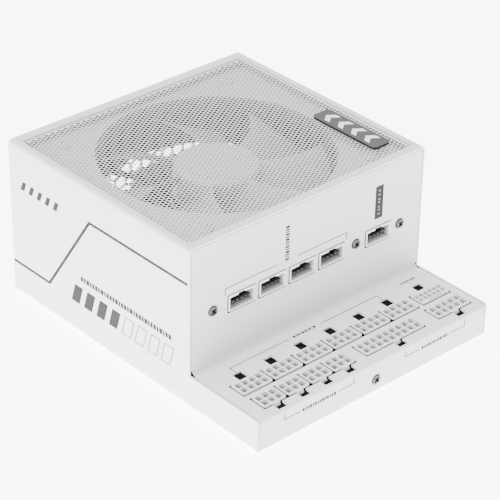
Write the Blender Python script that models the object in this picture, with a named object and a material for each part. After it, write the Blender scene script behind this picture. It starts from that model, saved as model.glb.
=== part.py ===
"""A stepped ATX power supply unit for a desktop computer.

The case is 150 mm wide, 182 mm deep and 86 mm high. Its front has a low ledge that carries
thirteen modular cable sockets, and the wall behind the ledge carries five small headers.
A fan under the mesh in the top draws air in, and the honeycomb in the rear lets it out.

The origin is the centre of the footprint, on the floor. +Y points to the rear, +Z up.
"""

import math

import bmesh
import bpy
from mathutils import Matrix, Vector

MM = 0.001

# Case
WIDTH = 150 * MM
DEPTH = 182 * MM
HEIGHT = 86 * MM
LEDGE_DEPTH = 47.1 * MM
LEDGE_HEIGHT = 18.24 * MM
SHEET = 1.0 * MM
SEAM = 0.3 * MM
TOP_BEND = 2.2 * MM
BOTTOM_BEND = 3.0 * MM
FLOOR_FLANGE = 8.0 * MM

LEFT = -WIDTH / 2
RIGHT = WIDTH / 2
FRONT = -DEPTH / 2
REAR = DEPTH / 2
WALL = FRONT + LEDGE_DEPTH
INNER_X = WIDTH / 2 - SHEET - SEAM
PANEL_TOP = HEIGHT - SHEET - SEAM
FLANGE_X = WIDTH / 2 - FLOOR_FLANGE

# Mesh in the top
MESH_LEFT = LEFT + 4.2 * MM
MESH_RIGHT = RIGHT - 4.2 * MM
MESH_FRONT = WALL + 4.6 * MM
MESH_REAR = REAR - 5.2 * MM
MESH_CORNER = 2.0 * MM
MESH_RECESS = 1.0 * MM
MESH_THICK = 0.8 * MM
BADGE_THICK = 1.2 * MM

# Fan
FAN_Y = (WALL + REAR) / 2
FAN_SIZE = 120 * MM
FAN_DEPTH = 25 * MM
FAN_BORE = 58 * MM
FAN_OPENING = 59 * MM
FAN_PLATE_TOP = HEIGHT - 5.0 * MM
FAN_TOP = FAN_PLATE_TOP - SHEET - SEAM
FAN_BOTTOM = FAN_TOP - FAN_DEPTH
FAN_HOLE = 52.5 * MM
HUB_RADIUS = 21.5 * MM
HUB_TOP = HEIGHT - 11.0 * MM
HUB_BOTTOM = FAN_BOTTOM + 3.5 * MM
HUB_WALL = 1.6 * MM
BLADE_COUNT = 7
BLADE_TIP = 56.5 * MM
BLADE_TOP = HUB_TOP - 0.5 * MM
BLADE_DROP = 13.0 * MM
SHAFT_RADIUS = 1.5 * MM
BEARING_BORE = 1.57 * MM

# Rear panel
VENT_PITCH = 7.0 * MM
VENT_FLAT = 5.9 * MM
INLET_X = 44 * MM
INLET_Z = 22 * MM
SWITCH_X = 16 * MM
SWITCH_Z = 22 * MM
INLET_BODY = (27.0 * MM, 19.8 * MM)
SWITCH_BODY = (12.6 * MM, 19.0 * MM)
FLANGE_FACE = REAR - SHEET - SEAM
ROCKER_TILT = math.radians(-8)
MOUNT_HOLES = ((69 * MM, 6 * MM), (-69 * MM, 6 * MM), (69 * MM, 70 * MM), (-45 * MM, 80 * MM))

# Ledge sockets, measured from the left side and from the wall
CELL_PITCH = 4.2 * MM
CELL = 3.3 * MM
SOCKET_PROUD = 0.9 * MM
SOCKET_BOTTOM = 6.4 * MM
REAR_ROW = 23.2 * MM
FRONT_ROW = 36.5 * MM
ROW_DEPTH = 9.6 * MM
EIGHT_PIN_STEP = 19.1 * MM
SIX_PIN_STEP = 14.52 * MM
LATCH_WIDTH = 5.2 * MM
LATCH_SHIFT = 0.5 * MM
REAR_LATCH = (11.8 * MM, 18.3 * MM)
FRONT_LATCH = (41.1 * MM, 45.8 * MM)

# Headers and screws on the wall, measured from the left side and from the floor
HEADER_Z = 47.9 * MM
HEADER_SIZE = (16.2 * MM, 8.4 * MM)
HEADER_CAVITY = (14.1 * MM, 6.7 * MM)
HEADER_PLACES = (31.7 * MM, 50.8 * MM, 69.9 * MM, 89.0 * MM, 120.0 * MM)
WALL_SCREWS = (14.1 * MM, 105.1 * MM, 134.8 * MM)
WALL_SCREW_Z = 48.2 * MM
LEDGE_SCREW = (74.8 * MM, 7.6 * MM)

# Boards
BOARD_BOTTOM = 7.0 * MM
BOARD_THICK = 1.6 * MM
BOARD_TOP = BOARD_BOTTOM + BOARD_THICK
BOARD_BOSSES = ((-60 * MM, -32 * MM), (60 * MM, -32 * MM), (-60 * MM, 60 * MM), (8 * MM, 80 * MM))


# ---------------------------------------------------------------- materials

def material(name, colour, roughness, metallic=0.0):
    """A plain Principled material, made once for each name."""
    found = bpy.data.materials.get(name)
    if found:
        return found
    made = bpy.data.materials.new(name)
    made.use_nodes = True
    shader = made.node_tree.nodes["Principled BSDF"]
    shader.inputs["Base Color"].default_value = (*colour, 1.0)
    shader.inputs["Roughness"].default_value = roughness
    shader.inputs["Metallic"].default_value = metallic
    return made


WHITE_PAINT = material("white_powder_coat", (0.80, 0.80, 0.80), 0.45)
WHITE_PLASTIC = material("white_plastic", (0.78, 0.78, 0.77), 0.35)
GREY_PLATE = material("grey_badge", (0.26, 0.26, 0.27), 0.35, 0.6)
BLACK_PLASTIC = material("black_plastic", (0.02, 0.02, 0.02), 0.4)
SCREW_STEEL = material("screw_steel", (0.62, 0.62, 0.63), 0.3, 1.0)
BRASS = material("tinned_brass", (0.75, 0.68, 0.48), 0.25, 1.0)
BOARD_GREEN = material("circuit_board", (0.02, 0.10, 0.05), 0.4)
FILM = material("insulation_film", (0.75, 0.72, 0.62), 0.3)
ALUMINIUM = material("aluminium", (0.70, 0.70, 0.72), 0.35, 1.0)
CAN_SLEEVE = material("capacitor_sleeve", (0.02, 0.02, 0.03), 0.3)
TAPE = material("transformer_tape", (0.75, 0.62, 0.12), 0.4)
COPPER = material("copper_wire", (0.55, 0.22, 0.10), 0.3, 1.0)
FERRITE = material("ferrite", (0.06, 0.06, 0.065), 0.6)


# ---------------------------------------------------------------- shape helpers

def place(name, mesh_data, look):
    """Put a finished bmesh into the scene as a named object."""
    bmesh.ops.recalc_face_normals(mesh_data, faces=mesh_data.faces)
    mesh = bpy.data.meshes.new(name)
    mesh_data.to_mesh(mesh)
    mesh_data.free()
    mesh.materials.append(look)
    made = bpy.data.objects.new(name, mesh)
    bpy.context.scene.collection.objects.link(made)
    return made


def smooth(made, angle=30):
    """Shade the round parts smooth and keep the edges."""
    made.data.shade_smooth()
    made.data.set_sharp_from_angle(angle=math.radians(angle))
    return made


def add_block(shape, low, high):
    """Add an axis-aligned block to a bmesh."""
    size = Vector(high) - Vector(low)
    middle = (Vector(high) + Vector(low)) / 2
    spot = Matrix.Translation(middle) @ Matrix.Diagonal((*size, 1.0))
    bmesh.ops.create_cube(shape, size=1.0, matrix=spot)


def add_prism(shape, outline, axis, low, high):
    """Extrude a flat outline along x, y or z.

    The outline's two coordinates are (y, z) for x, (x, z) for y and (x, y) for z.
    """
    def at(point, along):
        a, b = point
        return {"x": (along, a, b), "y": (a, along, b), "z": (a, b, along)}[axis]

    bottom = [shape.verts.new(at(point, low)) for point in outline]
    top = [shape.verts.new(at(point, high)) for point in outline]
    count = len(outline)
    shape.faces.new(bottom[::-1])
    shape.faces.new(top)
    for i in range(count):
        j = (i + 1) % count
        shape.faces.new((bottom[i], bottom[j], top[j], top[i]))


def add_rod(shape, centre, radius, low, high, axis="z", segments=24, end_radius=None):
    """Add a straight round rod, or a tapered one."""
    spin = {
        "x": Matrix.Rotation(math.pi / 2, 4, "Y"),
        "y": Matrix.Rotation(-math.pi / 2, 4, "X"),
        "z": Matrix.Identity(4),
    }[axis]
    a, b = centre
    half = (low + high) / 2
    middle = {"x": (half, a, b), "y": (a, half, b), "z": (a, b, half)}[axis]
    bmesh.ops.create_cone(
        shape,
        cap_ends=True,
        segments=segments,
        radius1=radius,
        radius2=radius if end_radius is None else end_radius,
        depth=high - low,
        matrix=Matrix.Translation(middle) @ spin,
    )


def turned(profile, segments):
    """A closed profile of (radius, z) points turned about the z axis."""
    shape = bmesh.new()
    rings = []
    for i in range(segments):
        angle = 2 * math.pi * i / segments
        ring = [(r * math.cos(angle), r * math.sin(angle), z) for r, z in profile]
        rings.append([shape.verts.new(point) for point in ring])
    count = len(profile)
    for i in range(segments):
        here, there = rings[i], rings[(i + 1) % segments]
        for k in range(count):
            n = (k + 1) % count
            shape.faces.new((here[k], here[n], there[n], there[k]))
    bmesh.ops.remove_doubles(shape, verts=shape.verts, dist=1e-7)
    return shape


def arc(centre, radius, start, end, steps):
    """Points on an arc, with its angles in degrees."""
    points = []
    for i in range(steps + 1):
        angle = math.radians(start + (end - start) * i / steps)
        points.append((centre[0] + radius * math.cos(angle), centre[1] + radius * math.sin(angle)))
    return points


def rounded_rectangle(low, high, radius, steps=4):
    """The outline of a rectangle with round corners, anticlockwise."""
    (x0, y0), (x1, y1) = low, high
    return (
        arc((x1 - radius, y0 + radius), radius, -90, 0, steps)
        + arc((x1 - radius, y1 - radius), radius, 0, 90, steps)
        + arc((x0 + radius, y1 - radius), radius, 90, 180, steps)
        + arc((x0 + radius, y0 + radius), radius, 180, 270, steps)
    )


def combine(made, shape, operation):
    """Cut a shape out of an object, or join a shape to it."""
    tool = place(made.name + "_tool_" + str(len(made.modifiers)), shape, BLACK_PLASTIC)
    tool.hide_render = True
    tool.display_type = "WIRE"
    step = made.modifiers.new(operation.lower(), "BOOLEAN")
    step.operation = operation
    step.solver = "EXACT"
    step.object = tool
    return made


def cut(made, shape):
    return combine(made, shape, "DIFFERENCE")


def join(made, shape):
    return combine(made, shape, "UNION")


# ---------------------------------------------------------------- case

def add_both_sides(shape, outline, low, high):
    """Add a cutter along y on the right side, and its mirror image on the left."""
    for side in (-1, 1):
        add_prism(shape, [(side * x, z) for x, z in outline], "y", low, high)


def lower_relief(shape, low, high):
    """Cutters that round a panel's lower corners to clear the cover's floor flanges."""
    middle = WIDTH / 2 - BOTTOM_BEND
    beyond = RIGHT + 1 * MM
    outline = [(FLANGE_X - SEAM, -1 * MM), (beyond, -1 * MM), (beyond, BOTTOM_BEND)]
    outline += arc((middle, BOTTOM_BEND), BOTTOM_BEND - SHEET - SEAM, 0, -90, 4)
    outline += [(FLANGE_X - SEAM, SHEET + SEAM)]
    add_both_sides(shape, outline, low, high)


def upper_relief(shape, low, high):
    """Cutters that round a panel's upper corners to clear the cover's top bends."""
    centre = (WIDTH / 2 - TOP_BEND, HEIGHT - TOP_BEND)
    beyond = RIGHT + 1 * MM
    outline = arc(centre, TOP_BEND - SHEET - SEAM, 0, 90, 3)
    outline += [(centre[0], HEIGHT), (beyond, HEIGHT), (beyond, centre[1])]
    add_both_sides(shape, outline, low, high)


def make_cover():
    """Top frame and both L-shaped sides, one folded sheet with flanges under the floor."""
    def loop(inset):
        bottom = BOTTOM_BEND - inset
        top = TOP_BEND - inset
        x = WIDTH / 2 - BOTTOM_BEND
        points = [(FLANGE_X, inset)]
        points += arc((x, BOTTOM_BEND), bottom, -90, 0, 5)
        x = WIDTH / 2 - TOP_BEND
        points += arc((x, HEIGHT - TOP_BEND), top, 0, 90, 5)
        return points + [(-a, b) for a, b in reversed(points)]

    shape = bmesh.new()
    add_prism(shape, loop(0.0) + loop(SHEET)[::-1], "y", FRONT, REAR)
    cover = place("cover_shell", shape, WHITE_PAINT)

    step = bmesh.new()
    low = (LEFT - 1 * MM, FRONT - 1 * MM, LEDGE_HEIGHT)
    add_block(step, low, (RIGHT + 1 * MM, WALL, HEIGHT + 1 * MM))
    cut(cover, step)

    window = bmesh.new()
    outline = rounded_rectangle((MESH_LEFT, MESH_FRONT), (MESH_RIGHT, MESH_REAR), MESH_CORNER)
    add_prism(window, outline, "z", HEIGHT - 4 * MM, HEIGHT + 1 * MM)
    cut(cover, window)
    return smooth(cover)


def make_bottom_plate():
    """The floor between the cover's flanges, with four pressed bosses for the main board."""
    shape = bmesh.new()
    edge = FLANGE_X - SEAM
    front = FRONT + 8 * MM + SEAM
    add_block(shape, (-edge, front, 0.0), (edge, REAR, SHEET))
    plate = place("bottom_plate", shape, WHITE_PAINT)
    bosses = bmesh.new()
    for x, y in BOARD_BOSSES:
        add_rod(bosses, (x, y), 4 * MM, SHEET / 2, BOARD_BOTTOM - SEAM, end_radius=2.6 * MM, segments=20)
    join(plate, bosses)
    return plate


def ledge_holes(centres_and_sizes):
    """Cutters for rectangular holes in the ledge."""
    shape = bmesh.new()
    top = LEDGE_HEIGHT + 1 * MM
    bottom = LEDGE_HEIGHT - SHEET - 2 * MM
    for x, y, width, depth in centres_and_sizes:
        half_x = width / 2
        half_y = depth / 2
        add_block(shape, (x - half_x, y - half_y, bottom), (x + half_x, y + half_y, top))
    return shape


def make_front_panel():
    """Wall, ledge and ledge front: one folded sheet between the cover's sides."""
    def edge(inset):
        inner = 3.0 * MM + inset
        outer = 2.0 * MM - inset
        bend = 3.0 * MM
        points = [(WALL + inset, PANEL_TOP)]
        points += arc((WALL - bend, LEDGE_HEIGHT + bend), inner, 0, -90, 5)
        points += arc((FRONT + 2 * MM, LEDGE_HEIGHT - 2 * MM), outer, 90, 180, 5)
        points += arc((FRONT + 2 * MM, 2 * MM), outer, 180, 270, 5)
        points += [(FRONT + 8 * MM, inset)]
        return points

    shape = bmesh.new()
    add_prism(shape, edge(0.0) + edge(SHEET)[::-1], "x", -INNER_X, INNER_X)
    panel = place("front_panel", shape, WHITE_PAINT)

    holes = bmesh.new()
    lower_relief(holes, FRONT - 1 * MM, FRONT + 10 * MM)
    upper_relief(holes, WALL - 1 * MM, WALL + 3 * MM)
    for side in (-1, 1):
        low, high = sorted((side * (INNER_X - 0.9 * MM), side * (INNER_X + 1 * MM)))
        foot = (low, WALL - 2.6 * MM, LEDGE_HEIGHT - 2 * MM)
        add_block(holes, foot, (high, WALL + 2 * MM, LEDGE_HEIGHT + 2.2 * MM))
    cut(panel, holes)

    room = 2 * SEAM
    cut(panel, ledge_holes([(x, y, width + room, depth + room) for _, x, y, width, depth, _ in SOCKETS]))
    cut(panel, ledge_holes(LATCHES))

    ports = bmesh.new()
    half_x = HEADER_SIZE[0] / 2 + SEAM
    half_z = HEADER_SIZE[1] / 2 + SEAM
    for place_x in HEADER_PLACES:
        x = LEFT + place_x
        low = (x - half_x, WALL - 1 * MM, HEADER_Z - half_z)
        add_block(ports, low, (x + half_x, WALL + 3 * MM, HEADER_Z + half_z))
    for place_x in WALL_SCREWS:
        centre = (LEFT + place_x, WALL_SCREW_Z)
        add_rod(ports, centre, 1.8 * MM, WALL - 1 * MM, WALL + 3 * MM, "y", 16)
    centre = (LEFT + LEDGE_SCREW[0], LEDGE_SCREW[1])
    add_rod(ports, centre, 1.8 * MM, FRONT - 1 * MM, FRONT + 3 * MM, "y", 16)
    cut(panel, ports)
    return smooth(panel)


def vent_centres():
    """Hexagon centres on the rear panel, clear of the inlet, the switch and the screws."""
    rows = 11
    columns = 19
    step_x = VENT_PITCH
    step_z = VENT_PITCH * math.sqrt(3) / 2
    base_z = HEIGHT / 2 - (rows - 1) / 2 * step_z + 0.6 * MM
    centres = []
    for row in range(rows):
        for column in range(columns):
            x = (column - (columns - 1) / 2 + (0.5 if row % 2 else 0.0)) * step_x
            z = base_z + row * step_z
            near_inlet = 2 * MM < x < 66 * MM and z < 38.5 * MM
            near_hole = any(math.hypot(x - a, z - b) < 7.5 * MM for a, b in MOUNT_HOLES)
            outside = abs(x) > 67 * MM
            if not (near_inlet or near_hole or outside):
                centres.append((x, z))
    return centres


def make_rear_panel():
    """Rear plate with the honeycomb, the mains inlet, the switch and four mounting holes."""
    shape = bmesh.new()
    add_block(shape, (-INNER_X, REAR - SHEET, SHEET + SEAM), (INNER_X, REAR, PANEL_TOP))
    panel = place("rear_panel", shape, WHITE_PAINT)
    back = REAR + 1 * MM
    inside = REAR - SHEET - 1 * MM

    corners = bmesh.new()
    lower_relief(corners, inside, back)
    upper_relief(corners, inside, back)
    for (width, height), x, z in (
        (INLET_BODY, INLET_X, INLET_Z),
        (SWITCH_BODY, SWITCH_X, SWITCH_Z),
    ):
        half_x = width / 2 + SEAM
        half_z = height / 2 + SEAM
        add_block(corners, (x - half_x, inside, z - half_z), (x + half_x, back, z + half_z))
    for centre in MOUNT_HOLES:
        add_rod(corners, centre, 1.75 * MM, inside, back, "y", 20)
    cut(panel, corners)

    vents = bmesh.new()
    corner_radius = VENT_FLAT / math.sqrt(3)
    for x, z in vent_centres():
        outline = [
            (x + corner_radius * math.sin(math.radians(60 * i)),
             z + corner_radius * math.cos(math.radians(60 * i)))
            for i in range(6)
        ]
        add_prism(vents, outline, "y", inside, back)
    cut(panel, vents)
    return panel


def make_fan_grille():
    """The mesh sheet in the top opening."""
    shape = bmesh.new()
    gap = SEAM
    low = (MESH_LEFT + gap, MESH_FRONT + gap)
    high = (MESH_RIGHT - gap, MESH_REAR - gap)
    top = HEIGHT - MESH_RECESS
    outline = rounded_rectangle(low, high, MESH_CORNER - gap)
    add_prism(shape, outline, "z", top - MESH_THICK, top)
    return place("fan_grille", shape, WHITE_PAINT)


def make_badge():
    """The small plate that sits on the mesh near its right side."""
    shape = bmesh.new()
    x = LEFT + 134.4 * MM
    y = REAR - 99.4 * MM
    half_x = 5.9 * MM
    half_y = 22.2 * MM
    bottom = HEIGHT - MESH_RECESS + SEAM
    outline = rounded_rectangle((x - half_x, y - half_y), (x + half_x, y + half_y), 1.2 * MM, 3)
    add_prism(shape, outline, "z", bottom, bottom + BADGE_THICK)
    return place("badge", shape, GREY_PLATE)


# ---------------------------------------------------------------- screws

def make_screw(name, head_radius, head_height, shank_radius, shank_length, look):
    """A pan-head screw with a cross recess, its head up and its seat at z = 0."""
    rise = head_height * 0.55
    profile = [
        (0.0, -shank_length),
        (shank_radius, -shank_length),
        (shank_radius, 0.0),
        (head_radius, 0.0),
        (head_radius, head_height - rise),
        (head_radius * 0.8, head_height),
        (0.0, head_height),
    ]
    screw = place(name, turned(profile, 16), look)
    cross = bmesh.new()
    arm = head_radius * 0.60
    half = head_radius * 0.13
    low = head_height - rise * 1.2
    high = head_height + 1 * MM
    plus = [
        (arm, -half), (arm, half), (half, half), (half, arm), (-half, arm), (-half, half),
        (-arm, half), (-arm, -half), (-half, -half), (-half, -arm), (half, -arm), (half, -half),
    ]
    add_prism(cross, plus, "z", low, high)
    cut(screw, cross)
    tool = screw.modifiers[-1].object
    tool.parent = screw
    return smooth(screw)


def make_case_screws():
    """Three screws in the wall and one in the ledge front, heads outwards."""
    upright = math.pi / 2
    for number, place_x in enumerate(WALL_SCREWS, 1):
        screw = make_screw(f"wall_screw_{number}", 2.75 * MM, 1.6 * MM, 1.5 * MM, 5 * MM, SCREW_STEEL)
        screw.location = (LEFT + place_x, WALL - SEAM, WALL_SCREW_Z)
        screw.rotation_euler = (upright, math.radians(45), 0)
    screw = make_screw("ledge_screw", 2.7 * MM, 1.6 * MM, 1.5 * MM, 5 * MM, SCREW_STEEL)
    screw.location = (LEFT + LEDGE_SCREW[0], FRONT, LEDGE_SCREW[1])
    screw.rotation_euler = (upright, math.radians(45), 0)


# ---------------------------------------------------------------- fan

def make_fan_plate():
    """The sheet under the mesh that holds the fan."""
    shape = bmesh.new()
    low = (-INNER_X, WALL + SHEET + SEAM, FAN_PLATE_TOP - SHEET)
    add_block(shape, low, (INNER_X, REAR - SHEET - SEAM, FAN_PLATE_TOP))
    plate = place("fan_mount_plate", shape, WHITE_PAINT)
    holes = bmesh.new()
    bottom = FAN_PLATE_TOP - 3 * MM
    top = FAN_PLATE_TOP + 2 * MM
    add_rod(holes, (0, FAN_Y), FAN_OPENING, bottom, top, segments=48)
    for a in (-FAN_HOLE, FAN_HOLE):
        for b in (-FAN_HOLE, FAN_HOLE):
            add_rod(holes, (a, FAN_Y + b), 2.3 * MM, bottom, top, segments=16)
    return cut(plate, holes)


def make_fan_frame():
    """Square fan frame with a round duct, a motor seat and four struts."""
    shape = bmesh.new()
    half = FAN_SIZE / 2
    outline = rounded_rectangle((-half, FAN_Y - half), (half, FAN_Y + half), 4 * MM)
    add_prism(shape, outline, "z", FAN_BOTTOM, FAN_TOP)
    frame = place("fan_frame", shape, WHITE_PLASTIC)
    duct = bmesh.new()
    low = FAN_BOTTOM - 1 * MM
    high = FAN_TOP + 1 * MM
    add_rod(duct, (0, FAN_Y), FAN_BORE, low, high, segments=48)
    for a in (-FAN_HOLE, FAN_HOLE):
        for b in (-FAN_HOLE, FAN_HOLE):
            add_rod(duct, (a, FAN_Y + b), 2.2 * MM, low, high, segments=16)
    cut(frame, duct)
    seat = bmesh.new()
    add_rod(seat, (0, FAN_Y), HUB_RADIUS + 1 * MM, FAN_BOTTOM, FAN_BOTTOM + 2.5 * MM, segments=36)
    join(frame, seat)
    for i in range(4):
        strut = bmesh.new()
        reach = FAN_BORE + 1.2 * MM
        add_block(strut, (10 * MM, -1.6 * MM, FAN_BOTTOM + 0.2 * MM), (reach, 1.6 * MM, FAN_BOTTOM + 2.3 * MM))
        turn = Matrix.Rotation(math.radians(24 + 90 * i), 4, "Z")
        bmesh.ops.transform(strut, matrix=Matrix.Translation((0, FAN_Y, 0)) @ turn, verts=strut.verts)
        join(frame, strut)
    return smooth(frame)


def add_blade(shape, start):
    """Add one swept fan blade; it leads, high edge first, anticlockwise."""
    spans = 5
    chords = 5
    thick = 1.3 * MM
    root = HUB_RADIUS - 0.8 * MM
    upper, lower = [], []
    for i in range(spans + 1):
        share = i / spans
        radius = root + (BLADE_TIP - root) * share
        lead = start + math.radians(14) * share ** 1.6
        width = math.radians(50 - 4 * share)
        row_up, row_low = [], []
        for j in range(chords + 1):
            along = j / chords
            angle = lead - width * along
            camber = 1.6 * MM * math.sin(math.pi * along)
            z = BLADE_TOP - BLADE_DROP * along - camber
            x = radius * math.cos(angle)
            y = radius * math.sin(angle)
            row_up.append(shape.verts.new((x, y, z)))
            row_low.append(shape.verts.new((x, y, z - thick)))
        upper.append(row_up)
        lower.append(row_low)
    for i in range(spans):
        for j in range(chords):
            shape.faces.new((upper[i][j], upper[i + 1][j], upper[i + 1][j + 1], upper[i][j + 1]))
            shape.faces.new((lower[i][j], lower[i][j + 1], lower[i + 1][j + 1], lower[i + 1][j]))
        for j in (0, chords):
            shape.faces.new((upper[i][j], lower[i][j], lower[i + 1][j], upper[i + 1][j]))
    for i in (0, spans):
        for j in range(chords):
            shape.faces.new((upper[i][j], upper[i][j + 1], lower[i][j + 1], lower[i][j]))


def make_fan_rotor():
    """Hub cup and blades; it turns about the vertical axis through its origin."""
    wall = HUB_WALL
    round_off = 2 * MM
    profile = [
        (0.0, HUB_TOP),
        (HUB_RADIUS - round_off, HUB_TOP),
        (HUB_RADIUS - 0.5 * MM, HUB_TOP - 0.5 * MM),
        (HUB_RADIUS, HUB_TOP - round_off),
        (HUB_RADIUS, HUB_BOTTOM),
        (HUB_RADIUS - wall, HUB_BOTTOM),
        (HUB_RADIUS - wall, HUB_TOP - wall),
        (0.0, HUB_TOP - wall),
    ]
    rotor = place("fan_rotor", turned(profile, 36), WHITE_PLASTIC)
    blades = bmesh.new()
    for i in range(BLADE_COUNT):
        add_blade(blades, math.radians(47) + 2 * math.pi * i / BLADE_COUNT)
    join(rotor, blades)
    rotor.modifiers[-1].object.parent = rotor
    rotor.location = (0, FAN_Y, 0)
    return smooth(rotor)


def ring(name, inner, outer, low, high, segments, look):
    """A plain upright ring on the fan's axis."""
    profile = [(inner, low), (outer, low), (outer, high), (inner, high)]
    made = place(name, turned(profile, segments), look)
    made.location = (0, FAN_Y, 0)
    return smooth(made)


def make_fan_inside():
    """Shaft, bearing, coil stack and magnet ring inside the fan hub."""
    shaft = bmesh.new()
    inner_top = HUB_TOP - HUB_WALL
    seat_top = FAN_BOTTOM + 2.5 * MM
    add_rod(shaft, (0, 0), SHAFT_RADIUS, seat_top + 0.8 * MM, inner_top - SEAM, segments=24)
    made = place("fan_shaft", shaft, SCREW_STEEL)
    made.location = (0, FAN_Y, 0)
    smooth(made)
    ring("fan_bearing", BEARING_BORE, 4 * MM, seat_top + SEAM, inner_top - 2 * MM, 32, BRASS)
    ring("fan_stator", 4.3 * MM, 15 * MM, seat_top + 2 * MM, inner_top - 4 * MM, 20, COPPER)
    inner = HUB_RADIUS - HUB_WALL
    ring("fan_magnet", 16 * MM, inner - SEAM, seat_top + 2.5 * MM, inner_top - 3 * MM, 36, FERRITE)


def make_fan_screws():
    """Four screws that hold the fan under its plate."""
    spots = [(a, b) for b in (-FAN_HOLE, FAN_HOLE) for a in (-FAN_HOLE, FAN_HOLE)]
    for number, (a, b) in enumerate(spots, 1):
        screw = make_screw(f"fan_screw_{number}", 3.5 * MM, 2.0 * MM, 1.9 * MM, 8 * MM, SCREW_STEEL)
        screw.location = (a, FAN_Y + b, FAN_PLATE_TOP + SEAM)


# ---------------------------------------------------------------- sockets

def socket_table():
    """Every socket on the ledge: name, centre x, centre y, width, depth, columns."""
    rows = []
    rear_y = WALL - REAR_ROW
    front_y = WALL - FRONT_ROW
    for i in range(6):
        x = LEFT + 17.9 * MM + EIGHT_PIN_STEP * i
        rows.append((f"socket_8pin_{i + 1}", x, rear_y, 18.0 * MM, ROW_DEPTH, 4))
    for i in range(4):
        x = LEFT + 16.3 * MM + SIX_PIN_STEP * i
        rows.append((f"socket_6pin_{i + 1}", x, front_y, 13.5 * MM, ROW_DEPTH, 3))
    rows.append(("socket_18pin", LEFT + 93.4 * MM, front_y, 39.0 * MM, ROW_DEPTH, 9))
    rows.append(("socket_10pin", LEFT + 133.6 * MM, front_y, 22.2 * MM, ROW_DEPTH, 5))
    rows.append(("socket_12v", LEFT + 134.8 * MM, rear_y, 18.6 * MM, ROW_DEPTH, 6))
    return rows


def latch_table(sockets):
    """Latch windows in the ledge, one for each socket: centre x, centre y, width, depth."""
    windows = []
    for name, x, y, _, _, _ in sockets:
        behind = y > WALL - (REAR_ROW + FRONT_ROW) / 2
        near, far = REAR_LATCH if behind else FRONT_LATCH
        if name == "socket_12v":
            near += 0.7 * MM
        windows.append((x + LATCH_SHIFT, WALL - (near + far) / 2, LATCH_WIDTH, far - near))
    return windows


SOCKETS = socket_table()
LATCHES = latch_table(SOCKETS)


def make_socket(name, x, y, width, depth, columns):
    """A cable socket: a block with two rows of square cells, open at the top."""
    fine = name == "socket_12v"
    pitch = 3.0 * MM if fine else CELL_PITCH
    cell = 2.4 * MM if fine else CELL
    low = (x - width / 2, y - depth / 2, SOCKET_BOTTOM)
    top = LEDGE_HEIGHT + SOCKET_PROUD
    shape = bmesh.new()
    add_block(shape, low, (x + width / 2, y + depth / 2, top))
    made = place(name, shape, WHITE_PLASTIC)
    cells = bmesh.new()
    for row in (-0.5, 0.5):
        for column in range(columns):
            a = x + (column - (columns - 1) / 2) * pitch
            b = y + row * pitch
            floor = (a - cell / 2, b - cell / 2, SOCKET_BOTTOM + 2.5 * MM)
            add_block(cells, floor, (a + cell / 2, b + cell / 2, top + 1 * MM))
    if fine:
        slot = (x - 4.4 * MM, y - 4.3 * MM, top - 5 * MM)
        add_block(cells, slot, (x + 4.4 * MM, y - 3.5 * MM, top + 1 * MM))
    return cut(made, cells)


def make_header(number, place_x):
    """A small five-pin header in the wall, with a keyed cavity."""
    x = LEFT + place_x
    half_x, half_z = HEADER_SIZE[0] / 2, HEADER_SIZE[1] / 2
    front = WALL - 0.5 * MM
    shape = bmesh.new()
    add_block(shape, (x - half_x, front, HEADER_Z - half_z), (x + half_x, front + 11 * MM, HEADER_Z + half_z))
    made = place(f"header_socket_{number}", shape, WHITE_PLASTIC)
    half_x, half_z = HEADER_CAVITY[0] / 2, HEADER_CAVITY[1] / 2
    cavity = bmesh.new()
    keyed = [
        (x - half_x, HEADER_Z - half_z), (x + half_x, HEADER_Z - half_z),
        (x + half_x, HEADER_Z + half_z - 0.5 * MM), (x + 2.2 * MM, HEADER_Z + half_z - 0.5 * MM),
        (x + 2.2 * MM, HEADER_Z + half_z + 0.4 * MM), (x - 2.2 * MM, HEADER_Z + half_z + 0.4 * MM),
        (x - 2.2 * MM, HEADER_Z + half_z - 0.5 * MM), (x - half_x, HEADER_Z + half_z - 0.5 * MM),
    ]
    add_prism(cavity, keyed, "y", front - 1 * MM, front + 8.5 * MM)
    return cut(made, cavity)


# ---------------------------------------------------------------- mains inlet and switch

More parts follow.
